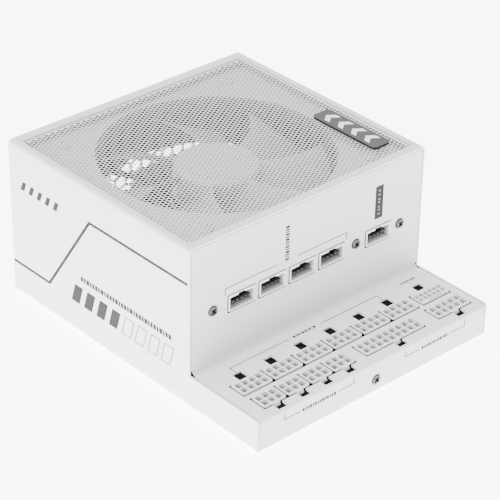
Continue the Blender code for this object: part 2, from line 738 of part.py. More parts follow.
def make_inlet():
    """The three-pole mains inlet, held from inside by its flange, and its three blades."""
    width, height = INLET_BODY
    front = REAR - 20 * MM
    shape = bmesh.new()
    half_x, half_z = width / 2, height / 2
    add_block(shape, (INLET_X - half_x, front, INLET_Z - half_z), (INLET_X + half_x, REAR + 0.6 * MM, INLET_Z + half_z))
    made = place("mains_inlet", shape, BLACK_PLASTIC)
    flange = bmesh.new()
    rim = 1.9 * MM
    low = (INLET_X - half_x - rim, INLET_Z - half_z - rim)
    high = (INLET_X + half_x + rim, INLET_Z + half_z + rim)
    add_prism(flange, rounded_rectangle(low, high, 2 * MM, 3), "y", FLANGE_FACE - 1.6 * MM, FLANGE_FACE)
    join(made, flange)
    hollow = bmesh.new()
    a, b = 12.0 * MM, 8.0 * MM
    chamfer = 4.6 * MM
    outline = [
        (INLET_X - a, INLET_Z - b), (INLET_X + a, INLET_Z - b), (INLET_X + a, INLET_Z + b - chamfer),
        (INLET_X + a - chamfer, INLET_Z + b), (INLET_X - a + chamfer, INLET_Z + b),
        (INLET_X - a, INLET_Z + b - chamfer),
    ]
    add_prism(hollow, outline, "y", REAR - 15.5 * MM, REAR + 3 * MM)
    cut(made, hollow)
    blades = (("live", -7 * MM, -2 * MM), ("neutral", 7 * MM, -2 * MM), ("earth", 0.0, 2 * MM))
    slots = bmesh.new()
    for _, dx, dz in blades:
        x, z = INLET_X + dx, INLET_Z + dz
        add_block(slots, (x - 1.3 * MM, front - 1 * MM, z - 2.3 * MM), (x + 1.3 * MM, REAR - 12 * MM, z + 2.3 * MM))
    cut(made, slots)
    for name, dx, dz in blades:
        x, z = INLET_X + dx, INLET_Z + dz
        blade = bmesh.new()
        add_block(blade, (x - 1 * MM, front - 5 * MM, z - 2 * MM), (x + 1 * MM, REAR - 0.8 * MM, z + 2 * MM))
        place(f"inlet_pin_{name}", blade, BRASS)


def make_switch():
    """The mains switch: a housing with a well, and a rocker that tilts in it."""
    width, height = SWITCH_BODY
    front = REAR - 14 * MM
    pivot_y = REAR - 3.4 * MM
    half_x, half_z = width / 2, height / 2
    shape = bmesh.new()
    add_block(shape, (SWITCH_X - half_x, front, SWITCH_Z - half_z), (SWITCH_X + half_x, REAR + 0.6 * MM, SWITCH_Z + half_z))
    housing = place("switch_housing", shape, BLACK_PLASTIC)
    flange = bmesh.new()
    rim = 1.2 * MM
    low = (SWITCH_X - half_x - rim, SWITCH_Z - half_z - rim)
    high = (SWITCH_X + half_x + rim, SWITCH_Z + half_z + rim)
    add_prism(flange, rounded_rectangle(low, high, 1 * MM, 2), "y", FLANGE_FACE - 1.4 * MM, FLANGE_FACE)
    join(housing, flange)

    well_x = 4.8 * MM
    well_z = 8.3 * MM
    pin_radius = 1.2 * MM
    well = bmesh.new()
    add_block(well, (SWITCH_X - well_x, REAR - 10 * MM, SWITCH_Z - well_z), (SWITCH_X + well_x, REAR + 3 * MM, SWITCH_Z + well_z))
    cut(housing, well)
    holes = bmesh.new()
    add_rod(holes, (pivot_y, SWITCH_Z), pin_radius + 0.09 * MM, SWITCH_X - well_x - 1.1 * MM, SWITCH_X + well_x + 1.1 * MM, "x", 32)
    cut(housing, holes)

    body = bmesh.new()
    half = well_z - 0.7 * MM
    outline = [(2.9 * MM, 0.0), (4.0 * MM, half)]
    outline += [(1.6 * MM, half), (-2.4 * MM, 3.2 * MM), (-2.4 * MM, -3.2 * MM), (1.6 * MM, -half)]
    outline += [(4.0 * MM, -half)]
    side = well_x - 0.3 * MM
    add_prism(body, outline, "x", -side, side)
    rocker = place("switch_rocker", body, BLACK_PLASTIC)
    pins = bmesh.new()
    add_rod(pins, (0.0, 0.0), pin_radius, -side - 0.95 * MM, side + 0.95 * MM, "x", 24)
    join(rocker, pins)
    rocker.modifiers[-1].object.parent = rocker
    rocker.location = (SWITCH_X, pivot_y, SWITCH_Z)
    rocker.rotation_euler = (ROCKER_TILT, 0, 0)


# ---------------------------------------------------------------- boards and parts on them

def block(name, low, high, look, bevel=0.0):
    """A block, with its edges bevelled if asked."""
    shape = bmesh.new()
    add_block(shape, low, high)
    made = place(name, shape, look)
    if bevel:
        edge = made.modifiers.new("edge", "BEVEL")
        edge.width = bevel
        edge.segments = 1
    return made


def make_boards():
    """The main board, the socket board, the header board and the film under the main board."""
    front = WALL + SHEET + 4 * MM
    block("main_board", (-70 * MM, front, BOARD_BOTTOM), (70 * MM, 84 * MM, BOARD_TOP), BOARD_GREEN)
    low = (-71 * MM, FRONT + 3 * MM, 4.4 * MM)
    block("socket_board", low, (71 * MM, WALL + 0.5 * MM, 6.0 * MM), BOARD_GREEN)
    board_y = WALL + 11 * MM
    low = (-58 * MM, board_y, 36 * MM)
    block("header_board", low, (66 * MM, board_y + BOARD_THICK, 53.5 * MM), BOARD_GREEN)
    film = block("insulation_film", (-68 * MM, front, 1.4 * MM), (68 * MM, 86 * MM, 1.8 * MM), FILM)
    holes = bmesh.new()
    for centre in BOARD_BOSSES:
        add_rod(holes, centre, 5 * MM, 0.5 * MM, 3 * MM, segments=16)
    cut(film, holes)


def make_ledge_insulator():
    """The black film under the ledge's top, with a hole round each socket."""
    top = LEDGE_HEIGHT - SHEET - SEAM
    shape = bmesh.new()
    add_block(shape, (-70 * MM, FRONT + 2 * MM, top - 0.4 * MM), (70 * MM, WALL - 1 * MM, top))
    film = place("ledge_insulator", shape, BLACK_PLASTIC)
    room = 2 * SEAM
    cut(film, ledge_holes([(x, y, width + room, depth + room) for _, x, y, width, depth, _ in SOCKETS]))


def make_can(name, x, y, radius, height):
    """An upright capacitor with a rolled groove near its foot."""
    foot = BOARD_TOP + SEAM
    profile = [
        (0.0, foot), (radius * 0.94, foot), (radius, foot + 0.8 * MM), (radius, foot + 2.4 * MM),
        (radius * 0.94, foot + 3.2 * MM), (radius, foot + 4.0 * MM), (radius, foot + height - 1 * MM),
        (radius * 0.93, foot + height), (0.0, foot + height),
    ]
    made = place(name, turned(profile, 20), CAN_SLEEVE)
    made.location = (x, y, 0)
    return smooth(made)


def make_choke(name, x, y, radius, wire, look):
    """A wound ring standing flat on the board."""
    sides = 8
    z = BOARD_TOP + SEAM + wire
    profile = arc((radius, z), wire, 0, 360, sides)[:-1]
    made = place(name, turned(profile, 20), look)
    made.location = (x, y, 0)
    return smooth(made, 60)


def make_heatsink(name, x, y, length, height, fins):
    """An upright finned extrusion; its fins point to +Y."""
    foot = BOARD_TOP + SEAM
    spine = 2.4 * MM
    fin = 1.2 * MM
    reach = 9 * MM
    step = (height - fin) / (fins - 1)
    outline = [(y, foot)]
    for i in range(fins):
        z = foot + i * step
        outline += [(y + reach, z), (y + reach, z + fin)]
        if i < fins - 1:
            outline += [(y + spine, z + fin), (y + spine, z + step)]
    outline += [(y, foot + height)]
    shape = bmesh.new()
    add_prism(shape, outline, "x", x - length / 2, x + length / 2)
    return place(name, shape, ALUMINIUM)


def make_power_parts():
    """The large parts on the main board."""
    foot = BOARD_TOP + SEAM
    make_can("bulk_capacitor_1", -52 * MM, 64 * MM, 15 * MM, 34 * MM)
    make_can("bulk_capacitor_2", -52 * MM, 30 * MM, 15 * MM, 34 * MM)
    make_heatsink("primary_heatsink", -14 * MM, 44 * MM, 36 * MM, 32 * MM, 7)
    make_heatsink("secondary_heatsink", 20 * MM, -30 * MM, 60 * MM, 26 * MM, 6)
    make_choke("pfc_choke", -14 * MM, 68 * MM, 9.5 * MM, 4.5 * MM, COPPER)
    make_choke("emi_choke", 54 * MM, 44 * MM, 7.5 * MM, 3.8 * MM, COPPER)
    block("main_transformer", (-26 * MM, 0, foot), (12 * MM, 34 * MM, foot + 30 * MM), TAPE, 1 * MM)
    low = (28 * MM, 4 * MM, foot)
    block("standby_transformer", low, (46 * MM, 22 * MM, foot + 18 * MM), TAPE, 0.8 * MM)
    low = (14 * MM, 40 * MM, foot)
    block("x_capacitor", low, (38 * MM, 50 * MM, foot + 16 * MM), WHITE_PLASTIC, 0.6 * MM)


def main():
    for old in list(bpy.data.objects):
        bpy.data.objects.remove(old, do_unlink=True)
    make_cover()
    make_bottom_plate()
    make_front_panel()
    make_rear_panel()
    make_fan_grille()
    make_badge()
    make_case_screws()
    make_fan_plate()
    make_fan_frame()
    make_fan_rotor()
    make_fan_inside()
    make_fan_screws()
    for row in SOCKETS:
        make_socket(*row)
    for number, place_x in enumerate(HEADER_PLACES, 1):
        make_header(number, place_x)
    make_inlet()
    make_switch()
    make_boards()
    make_ledge_insulator()
    make_power_parts()


main()
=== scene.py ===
"""Looks of a white stepped ATX power supply: fine sheet metal, mesh, fan, sockets and prints."""

import math

import bmesh
import bpy
from mathutils import Matrix, Vector


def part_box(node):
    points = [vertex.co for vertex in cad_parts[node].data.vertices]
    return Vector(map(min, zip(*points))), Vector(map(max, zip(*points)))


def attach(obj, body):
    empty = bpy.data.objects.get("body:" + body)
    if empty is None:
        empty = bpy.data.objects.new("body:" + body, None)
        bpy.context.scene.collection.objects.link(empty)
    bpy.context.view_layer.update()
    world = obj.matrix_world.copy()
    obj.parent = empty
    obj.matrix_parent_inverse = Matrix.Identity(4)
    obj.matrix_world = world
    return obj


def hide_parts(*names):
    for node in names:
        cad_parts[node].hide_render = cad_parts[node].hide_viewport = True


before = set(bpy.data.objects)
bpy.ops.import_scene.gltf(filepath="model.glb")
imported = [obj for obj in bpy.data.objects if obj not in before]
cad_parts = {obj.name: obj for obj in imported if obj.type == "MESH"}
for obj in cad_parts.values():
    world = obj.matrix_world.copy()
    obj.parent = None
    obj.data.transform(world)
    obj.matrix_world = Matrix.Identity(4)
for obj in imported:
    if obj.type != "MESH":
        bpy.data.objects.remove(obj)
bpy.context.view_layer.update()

MM = 0.001

# Sheet metal
SHEET = 1.0 * MM
SEAM = 0.3 * MM
FLOOR_FLANGE = 8.0 * MM
LEDGE_FLANGE = 8.0 * MM
TOP_BEND = 2.2 * MM
BOTTOM_BEND = 3.0 * MM
WALL_BEND = 3.0 * MM
LEDGE_BEND = 2.0 * MM

# How far a cutting shape reaches in front of and behind the sheet it cuts
PAST = 1.0 * MM
BEHIND = 3.0 * MM

# The mesh: a thin sheet with staggered holes
MESH_SHEET = 0.2 * MM
HOLE_RADIUS = 0.98 * MM
HOLE_SIDES = 8
HOLE_COLUMNS = 71
HOLE_ROWS = 54

# Sockets; cells as pitch, half width and half a pin's width, finer in the 12 V socket
SOCKET_PROUD = 0.9 * MM
SOCKET_ROOM = 0.6 * MM
CELL = (4.2 * MM, 1.72 * MM, 0.53 * MM)
FINE_CELL = (3.0 * MM, 1.2 * MM, 0.28 * MM)
FINE_COLUMNS = 6

# Ink stands this far above its face, and reaches this far into it
PRINT = 0.03 * MM
PRINT_ROOT = 0.02 * MM
BRACKET_LINE = 0.48
DASH_GAP = 0.5

# Places read from the frame
LEFT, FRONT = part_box("cover_shell")[0][:2]
RIGHT, REAR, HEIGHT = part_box("cover_shell")[1]
INNER_X, PANEL_BACK, PANEL_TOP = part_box("front_panel")[1]
WALL = PANEL_BACK - SHEET
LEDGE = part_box("socket_8pin_1")[1][2] - SOCKET_PROUD
ROWS_MEET = WALL - 30 * MM
GRILLE_LOW, GRILLE_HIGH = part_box("fan_grille")

# Fan
FAN_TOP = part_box("fan_rotor")[1][2]
FAN_Y = (WALL + REAR) / 2
FAN_OPENING = 59.0 * MM
FAN_SCREW_REACH = 52.5 * MM
HUB_RADIUS = 21.5 * MM
HUB_DEPTH = 16.5 * MM
HUB_WALL = 1.6 * MM
BLADE_COUNT = 7
BLADE_TIP = 56.4 * MM
BLADE_PHASE = 19.0
BLADE_WIDTH = 37.0
BLADE_SWEEP = 14.0
BLADE_DROP = 13.0 * MM
BLADE_STEPS = 12

# Names of nodes that are made alike
SOCKET_NAMES = sorted(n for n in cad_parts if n.startswith("socket_"))
SOCKET_NAMES.remove("socket_board")
SOCKET_GROUPS = (
    ("socket_8pin_1", "socket_8pin_6"), ("socket_12v", "socket_12v"),
    ("socket_6pin_1", "socket_6pin_4"), ("socket_18pin", "socket_18pin"),
    ("socket_10pin", "socket_10pin"),
)
HEADER_NAMES = [f"header_socket_{number}" for number in range(1, 6)]
SCREW_NAMES = ("wall_screw_1", "wall_screw_2", "wall_screw_3", "ledge_screw")

# Stage: strengths, lights as name, place, watts and size, and the camera (metres and degrees)
SKY = 1.75
FLOOR_GLOW = 6.2
LIGHTS = (
    ("key_left", (-1.5, -0.2, 0.9), 30.0, 1.2),
    ("overhead", (0.0, 0.0, 2.0), 24.0, 1.0),
)
CAMERA_PLACE = (-0.59686, -0.65630, 0.57938)
CAMERA_AZIMUTH = -42.354
CAMERA_ELEVATION = 31.481
CAMERA_ROLL = 1.0009
CAMERA_LENS = 153.3


# ---------------- materials

def shade(colour, factor):
    return tuple(factor * c for c in colour)


def grey(level):
    return (level, level, level)


class Look:
    """A node material under construction."""

    def __init__(self, name, colour, roughness, metallic=0.0, gloss=0.5):
        self.material = bpy.data.materials.new(name)
        self.material.use_nodes = True
        self.tree = self.material.node_tree
        self.shader = self.tree.nodes["Principled BSDF"]
        self.shader.inputs["Base Color"].default_value = (*colour, 1.0)
        self.shader.inputs["Roughness"].default_value = roughness
        self.shader.inputs["Metallic"].default_value = metallic
        self.shader.inputs["Specular IOR Level"].default_value = gloss
        self.place = self.tree.nodes.new("ShaderNodeTexCoord").outputs["Object"]

    def link(self, start, end):
        self.tree.links.new(start, end)

    def node(self, kind, **settings):
        """A new node; each setting is one of its sockets or one of its properties."""
        made = self.tree.nodes.new(kind)
        for key, value in settings.items():
            if key in made.inputs:
                made.inputs[key].default_value = value
            else:
                setattr(made, key, value)
        return made

    def noise(self, scale, detail=3.0, stretch=None):
        made = self.node("ShaderNodeTexNoise", Scale=scale, Detail=detail)
        place = self.place
        if stretch:
            mapping = self.node("ShaderNodeMapping", Scale=stretch)
            self.link(place, mapping.inputs["Vector"])
            place = mapping.outputs["Vector"]
        self.link(place, made.inputs["Vector"])
        return made.outputs["Fac"]

    def part(self, vector, axis):
        """One component of a vector."""
        parts = self.node("ShaderNodeSeparateXYZ")
        self.link(vector, parts.inputs["Vector"])
        return parts.outputs[axis]

    def map_range(self, value, start, end, low=0.0, high=1.0):
        """Map start to end onto low to high."""
        ends = {"From Min": start, "From Max": end, "To Min": low, "To Max": high}
        made = self.node("ShaderNodeMapRange", **ends)
        self.link(value, made.inputs["Value"])
        return made.outputs["Result"]

    def vary_colour(self, factor, first, second):
        mix = self.node("ShaderNodeMix", data_type="RGBA")
        slots = [s for s in mix.inputs if s.type == "RGBA"]
        slots[0].default_value = (*first, 1.0)
        slots[1].default_value = (*second, 1.0)
        self.link(factor, mix.inputs["Factor"])
        colour = [s for s in mix.outputs if s.type == "RGBA"][0]
        self.link(colour, self.shader.inputs["Base Color"])

    def vary_roughness(self, factor, low, high):
        """Roughness from low to high over the middle of a 0-1 pattern."""
        self.link(self.map_range(factor, 0.3, 0.7, low, high), self.shader.inputs["Roughness"])

    def bump(self, factor, depth, strength=1.0):
        """Add relief of a given depth in metres; several add up."""
        made = self.node("ShaderNodeBump", Strength=strength, Distance=depth)
        self.link(factor, made.inputs["Height"])
        normal = self.shader.inputs["Normal"]
        if normal.is_linked:
            self.link(normal.links[0].from_socket, made.inputs["Normal"])
        self.link(made.outputs["Normal"], normal)


def powder_coat(name, colour, shaded_front_tone=None):
    """Fine orange-peel powder coat on steel; faces towards the front can get a darker tone as
    painted shade.
    """
    look = Look(name, colour, 0.5)
    peel = look.noise(1500.0, 2.0)
    if shaded_front_tone:
        # Painted shade: faces turned towards the front take the darker tone.
        normal = look.node("ShaderNodeNewGeometry").outputs["Normal"]
        front_shade_mask = look.map_range(look.part(normal, "Y"), -0.9, -0.1)
        look.vary_colour(front_shade_mask, shaded_front_tone, colour)
    else:
        look.vary_colour(look.noise(45.0, 2.0), shade(colour, 0.965), colour)
    look.vary_roughness(peel, 0.43, 0.57)
    look.bump(peel, 0.035 * MM, 0.6)
    look.bump(look.noise(5200.0, 1.0), 0.006 * MM, 0.5)
    return look.material


def moulded(name, colour, roughness=0.4, grain=0.01 * MM, gloss=0.5):
    """Injection-moulded plastic with a fine spark-eroded grain."""
    look = Look(name, colour, roughness, gloss=gloss)
    fine = look.noise(2600.0, 2.0)
    look.vary_colour(look.noise(120.0, 3.0), shade(colour, 0.95), colour)
    look.vary_roughness(fine, roughness - 0.06, roughness + 0.06)
    look.bump(fine, grain, 0.5)
    return look.material


def painted_depth_shade(name, colour, axis, mouth, depth, gloss=0.5):
    """Moulded plastic with painted shade: its colour darkens from its mouth inwards along an axis,
    standing in for the shade deep in narrow cells.
    """
    look = Look(name, colour, 0.4, gloss=gloss)
    fine = look.noise(2600.0, 2.0)
    inward = look.map_range(look.part(look.place, axis), mouth, mouth + depth)
    depth_shade_curve = look.node("ShaderNodeMath", operation="POWER")
    depth_shade_curve.inputs[1].default_value = 0.6
    look.link(inward, depth_shade_curve.inputs[0])
    # Painted shade: the colour falls towards 3 % of itself deeper in.
    look.vary_colour(depth_shade_curve.outputs["Value"], colour, shade(colour, 0.03))
    look.vary_roughness(fine, 0.34, 0.46)
    look.bump(fine, 0.01 * MM, 0.5)
    return look.material


def metal(name, colour, roughness, stretch=(1.0, 1.0, 1.0)):
    """Plated or drawn metal with fine streaks along its shortened axes."""
    look = Look(name, colour, roughness, 1.0)
    streaks = look.noise(1800.0, 4.0, stretch)
    look.vary_colour(streaks, shade(colour, 0.78), colour)
    look.vary_roughness(streaks, roughness - 0.08, roughness + 0.12)
    look.bump(streaks, 0.004 * MM, 0.4)
    return look.material


def ink(name, colour):
    """Screen-printed ink, slightly uneven."""
    look = Look(name, colour, 0.55, gloss=0.08)
    uneven = look.noise(900.0, 3.0)
    look.vary_colour(uneven, colour, shade(colour, 1.12))
    look.vary_roughness(uneven, 0.48, 0.62)
    look.bump(uneven, 0.004 * MM, 0.3)
    return look.material


def solder_mask():
    """Dark board lacquer with a hint of buried tracks."""
    look = Look("solder_mask", (0.012, 0.013, 0.014), 0.35)
    tracks = look.node("ShaderNodeTexBrick", **{"Scale": 260.0, "Mortar Size": 0.03})
    look.link(look.place, tracks.inputs["Vector"])
    look.vary_colour(tracks.outputs["Fac"], (0.010, 0.011, 0.012), (0.030, 0.031, 0.030))
    look.vary_roughness(look.noise(700.0), 0.28, 0.45)
    look.bump(tracks.outputs["Fac"], 0.03 * MM, 0.5)
    return look.material


def wound(name, colour, turns, axis):
    """Enamelled wire or tape laid in neat turns."""
    look = Look(name, colour, 0.3, 0.6)
    wave = look.node("ShaderNodeTexWave", Scale=turns, Distortion=0.6, bands_direction=axis)
    look.link(look.place, wave.inputs["Vector"])
    look.vary_colour(wave.outputs["Fac"], shade(colour, 0.35), colour)
    look.vary_roughness(look.noise(800.0), 0.22, 0.4)
    look.bump(wave.outputs["Fac"], 0.15 * MM, 0.8)
    return look.material


WHITE = powder_coat("white_powder_coat", grey(0.73))
# Front panel white, with its faces towards the front painted darker as shade.
FRONT_WHITE_PAINTED_SHADE = powder_coat("front_powder_coat_painted_shade", grey(0.76), grey(0.575))
MESH_WHITE = powder_coat("mesh_powder_coat", grey(0.75))
# Painted shade: the mesh's hole walls and underside get this dark grey.
MESH_HOLE_SHADE = powder_coat("mesh_hole_painted_shade", grey(0.20))
INNER_WHITE = powder_coat("inner_powder_coat", grey(0.74))
# Unpainted steel inside the cover, darkened to near black as painted shade inside the case.
BARE_STEEL_SHADE = metal("bare_steel_inside_painted_shade", grey(0.05), 0.5)
# Painted shade: socket cells darken downwards from the ledge, and header mouths darken inwards
# from the wall.
SOCKET_WHITE = painted_depth_shade(
    "white_socket_plastic_painted_shade", (0.76, 0.76, 0.755), "Z", LEDGE - 0.2 * MM, -6.0 * MM)
HEADER_WHITE = painted_depth_shade(
    "white_header_plastic_painted_shade", (0.76, 0.76, 0.755), "Y", WALL + 0.2 * MM, 6.0 * MM)
# Painted shade: the rotor darkens with depth below the fan's top, for the shade between and under
# the blades.
FAN_WHITE = painted_depth_shade("white_fan_plastic_painted_shade", grey(0.72), "Z", FAN_TOP, -28.0 * MM, 0.2)
# Painted shade: the white frame gets a dark grey, darkening further with depth, for its shaded
# inner wall.
FRAME_WHITE = painted_depth_shade(
    "white_fan_frame_plastic_painted_shade", grey(0.25), "Z", FAN_TOP + 5.0 * MM, -10.0 * MM, 0.2)
PALE_PLASTIC = moulded("pale_box_plastic", (0.60, 0.60, 0.58), 0.4)
BLACK = moulded("black_plastic", (0.003, 0.003, 0.0032), 0.5, gloss=0.05)
GLOSS_BLACK = moulded("black_rocker_plastic", (0.016, 0.016, 0.017), 0.2, 0.004 * MM)
GREY_METAL = metal("satin_grey_plate", (0.145, 0.145, 0.15), 0.38, (1.0, 0.06, 1.0))
BADGE_SIDE_SHADE = metal("badge_side_painted_shade", (0.035, 0.035, 0.036), 0.4)
STEEL = metal("zinc_steel", (0.66, 0.66, 0.67), 0.28)
SCREW_GREY = metal("zinc_screw_steel", (0.11, 0.11, 0.112), 0.42)
SCREW_RECESS_SHADE = metal("screw_recess_painted_shade", grey(0.012), 0.5)
# Tinned pins darkened as a painted reflection of the dark cavity round them.
PIN_METAL_PAINTED_SHADE = metal("tinned_pin_painted_shade", (0.16, 0.155, 0.15), 0.35, (1.0, 1.0, 0.1))
BRASS = metal("nickelled_brass", (0.72, 0.66, 0.50), 0.25, (1.0, 0.1, 1.0))
ALUMINIUM = metal("dark_anodised_aluminium", (0.10, 0.10, 0.105), 0.4, (0.05, 1.0, 1.0))
GREY_INK = ink("grey_ink", (0.012, 0.012, 0.0125))
MID_INK = ink("side_grey_ink", (0.024, 0.024, 0.0245))
DARK_INK = ink("dark_ink", (0.020, 0.020, 0.021))
WHITE_INK = ink("white_ink", grey(0.80))
PALE_INK = ink("pale_ink", grey(0.22))
BOARD = solder_mask()
COPPER = wound("enamelled_copper", (0.16, 0.07, 0.035), 420.0, "X")
TAPE = wound("transformer_tape", (0.06, 0.055, 0.04), 60.0, "Z")
SLEEVE = moulded("capacitor_sleeve", (0.015, 0.017, 0.03), 0.25)
FERRITE = moulded("ferrite", (0.05, 0.05, 0.055), 0.6, 0.03 * MM)
FILM = moulded("insulation_film", (0.05, 0.05, 0.045), 0.3)

# Finishes of the CAD nodes that stay, each with the width of its edge rounds
CARRIED = (
    (WHITE, 0.2 * MM, "bottom_plate"),
    (WHITE, 0.15 * MM, "rear_panel"),
    (BLACK, 0.3 * MM, "mains_inlet"),
    (BLACK, 0.25 * MM, "switch_housing"),
    (BLACK, 0.0, "ledge_insulator"),
    (GLOSS_BLACK, 0.3 * MM, "switch_rocker"),
    (FRAME_WHITE, 0.4 * MM, "fan_frame"),
    (INNER_WHITE, 0.1 * MM, "fan_screw_1", "fan_screw_2", "fan_screw_3", "fan_screw_4"),
    (STEEL, 0.1 * MM, "fan_shaft"),
    (BRASS, 0.15 * MM, "fan_bearing"),
    (BRASS, 0.3 * MM, "inlet_pin_live", "inlet_pin_neutral", "inlet_pin_earth"),
    (COPPER, 0.3 * MM, "fan_stator"),
    (COPPER, 0.0, "pfc_choke", "emi_choke"),
    (FERRITE, 0.2 * MM, "fan_magnet"),
    (FILM, 0.0, "insulation_film"),
    (BOARD, 0.1 * MM, "socket_board", "main_board", "header_board"),
    (ALUMINIUM, 0.15 * MM, "primary_heatsink", "secondary_heatsink"),
    (TAPE, 0.0, "main_transformer", "standby_transformer"),
    (PALE_PLASTIC, 0.0, "x_capacitor"),
    (SLEEVE, 0.0, "bulk_capacitor_1", "bulk_capacitor_2"),
)


# ---------------- shape helpers

def rectangle(a0, b0, a1, b1):
    return [(a0, b0), (a1, b0), (a1, b1), (a0, b1)]


def arc(centre, radius, start, end, steps):
    """Points on an arc, with its ends in degrees."""
    points = []
    for i in range(steps + 1):
        angle = math.radians(start + (end - start) * i / steps)
        points.append((centre[0] + radius * math.cos(angle), centre[1] + radius * math.sin(angle)))
    return points


def rounded_rectangle(low, high, radius, steps=6):
    (x0, y0), (x1, y1) = low, high
    return (
        arc((x1 - radius, y0 + radius), radius, -90, 0, steps)
        + arc((x1 - radius, y1 - radius), radius, 0, 90, steps)
        + arc((x0 + radius, y1 - radius), radius, 90, 180, steps)
        + arc((x0 + radius, y0 + radius), radius, 180, 270, steps)
    )


def add_block(shape, low, high):
    size = Vector(high) - Vector(low)
    middle = (Vector(high) + Vector(low)) / 2
    spot = Matrix.Translation(middle) @ Matrix.Diagonal((*size, 1.0))
    bmesh.ops.create_cube(shape, size=1.0, matrix=spot)


def add_prism(shape, outline, axis, low, high):
    """Extrude a flat outline along x (y, z points), y (x, z points) or z (x, y points)."""
    def at(point, along):
        a, b = point
        return {"x": (along, a, b), "y": (a, along, b), "z": (a, b, along)}[axis]

    bottom = [shape.verts.new(at(point, low)) for point in outline]
    top = [shape.verts.new(at(point, high)) for point in outline]
    count = len(outline)
    shape.faces.new(bottom[::-1])
    shape.faces.new(top)
    for i in range(count):
        j = (i + 1) % count
        shape.faces.new((bottom[i], bottom[j], top[j], top[i]))


def add_rod(shape, centre, radius, low, high, axis, segments):
    """A round rod along y (centre as x, z) or z (centre as x, y)."""
    a, b = centre
    half = (low + high) / 2
    if axis == "y":
        spot = Matrix.Translation((a, half, b)) @ Matrix.Rotation(-math.pi / 2, 4, "X")
    else:
        spot = Matrix.Translation((a, b, half))
    bmesh.ops.create_cone(
        shape,
        cap_ends=True,
        segments=segments,
        radius1=radius,
        radius2=radius,
        depth=high - low,
        matrix=spot,
    )


def turned(profile, segments, centre=(0.0, 0.0)):
    """A closed profile of (radius, z) points turned about an upright axis."""
    shape = bmesh.new()
    rings = []
    for i in range(segments):
        angle = 2 * math.pi * i / segments
        rings.append([
            shape.verts.new((centre[0] + r * math.cos(angle), centre[1] + r * math.sin(angle), z))
            for r, z in profile
        ])
    count = len(profile)
    for i in range(segments):
        here, there = rings[i], rings[(i + 1) % segments]
        for k in range(count):
            n = (k + 1) % count
            shape.faces.new((here[k], here[n], there[n], there[k]))
    bmesh.ops.remove_doubles(shape, verts=shape.verts, dist=1e-7)
    return shape


def link_new(name, data):
    made = bpy.data.objects.new(name, data)
    bpy.context.scene.collection.objects.link(made)
    return made


def to_object(name, shape, look=None):
    bmesh.ops.recalc_face_normals(shape, faces=shape.faces)
    mesh = bpy.data.meshes.new(name)
    shape.to_mesh(mesh)
    shape.free()
    if look:
        mesh.materials.append(look)
    return link_new(name, mesh)


def settle(made):
    """Replace an object's mesh by what its modifiers make of it."""
    graph = bpy.context.evaluated_depsgraph_get()
    graph.update()
    final = bpy.data.meshes.new_from_object(made.evaluated_get(graph))
    made.modifiers.clear()
    made.data = final
    return made


def combine(made, shape, operation="DIFFERENCE"):
    """Cut a shape from an object, or join it on with UNION."""
    tool = to_object("tool", shape)
    step = made.modifiers.new("combine", "BOOLEAN")
    step.operation = operation
    step.solver = "EXACT"
    step.object = tool
    settle(made)
    bpy.data.objects.remove(tool, do_unlink=True)
    return made


def cut_prism(made, outline, axis, low, high):
    shape = bmesh.new()
    add_prism(shape, outline, axis, low, high)
    return combine(made, shape)


def round_edges(made, width, segments, angle):
    edge = made.modifiers.new("edge", "BEVEL")
    edge.width = width
    edge.segments = segments
    edge.limit_method = "ANGLE"
    edge.angle_limit = math.radians(angle)
    edge.harden_normals = True
    edge.use_clamp_overlap = True


def soften(made, width, segments=2, angle=32):
    """Round an object's edges a little, as paint or a mould does."""
    made.data.shade_smooth()
    round_edges(made, width, segments, angle)
    return settle(made)


def smooth(made, angle):
    made.data.shade_smooth()
    made.data.set_sharp_from_angle(angle=math.radians(angle))
    return made


def paint_where(made, look, chosen):
    """Give an object's chosen faces a second material."""
    made.data.materials.append(look)
    for face in made.data.polygons:
        if chosen(face):
            face.material_index = 1


def show(made, slot, *nodes, body="case"):
    """Attach a finished piece to its body and hide the CAD nodes that it stands for; slot is not
    used.
    """
    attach(made, body)
    if nodes:
        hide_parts(*nodes)
    return made


def across(distance):
    """An x measured in millimetres from the case's left side."""
    return LEFT + distance * MM


# ---------------- cover

def cover_profile(inset):
    """The folded cover seen from the front, from one floor flange over the top to the other."""
    points = [(RIGHT - FLOOR_FLANGE, inset)]
    foot = (RIGHT - BOTTOM_BEND, BOTTOM_BEND)
    points += arc(foot, BOTTOM_BEND - inset, -90, 0, 10)
    head = (RIGHT - TOP_BEND, HEIGHT - TOP_BEND)
    points += arc(head, TOP_BEND - inset, 0, 90, 10)
    return points + [(-a, b) for a, b in reversed(points)]


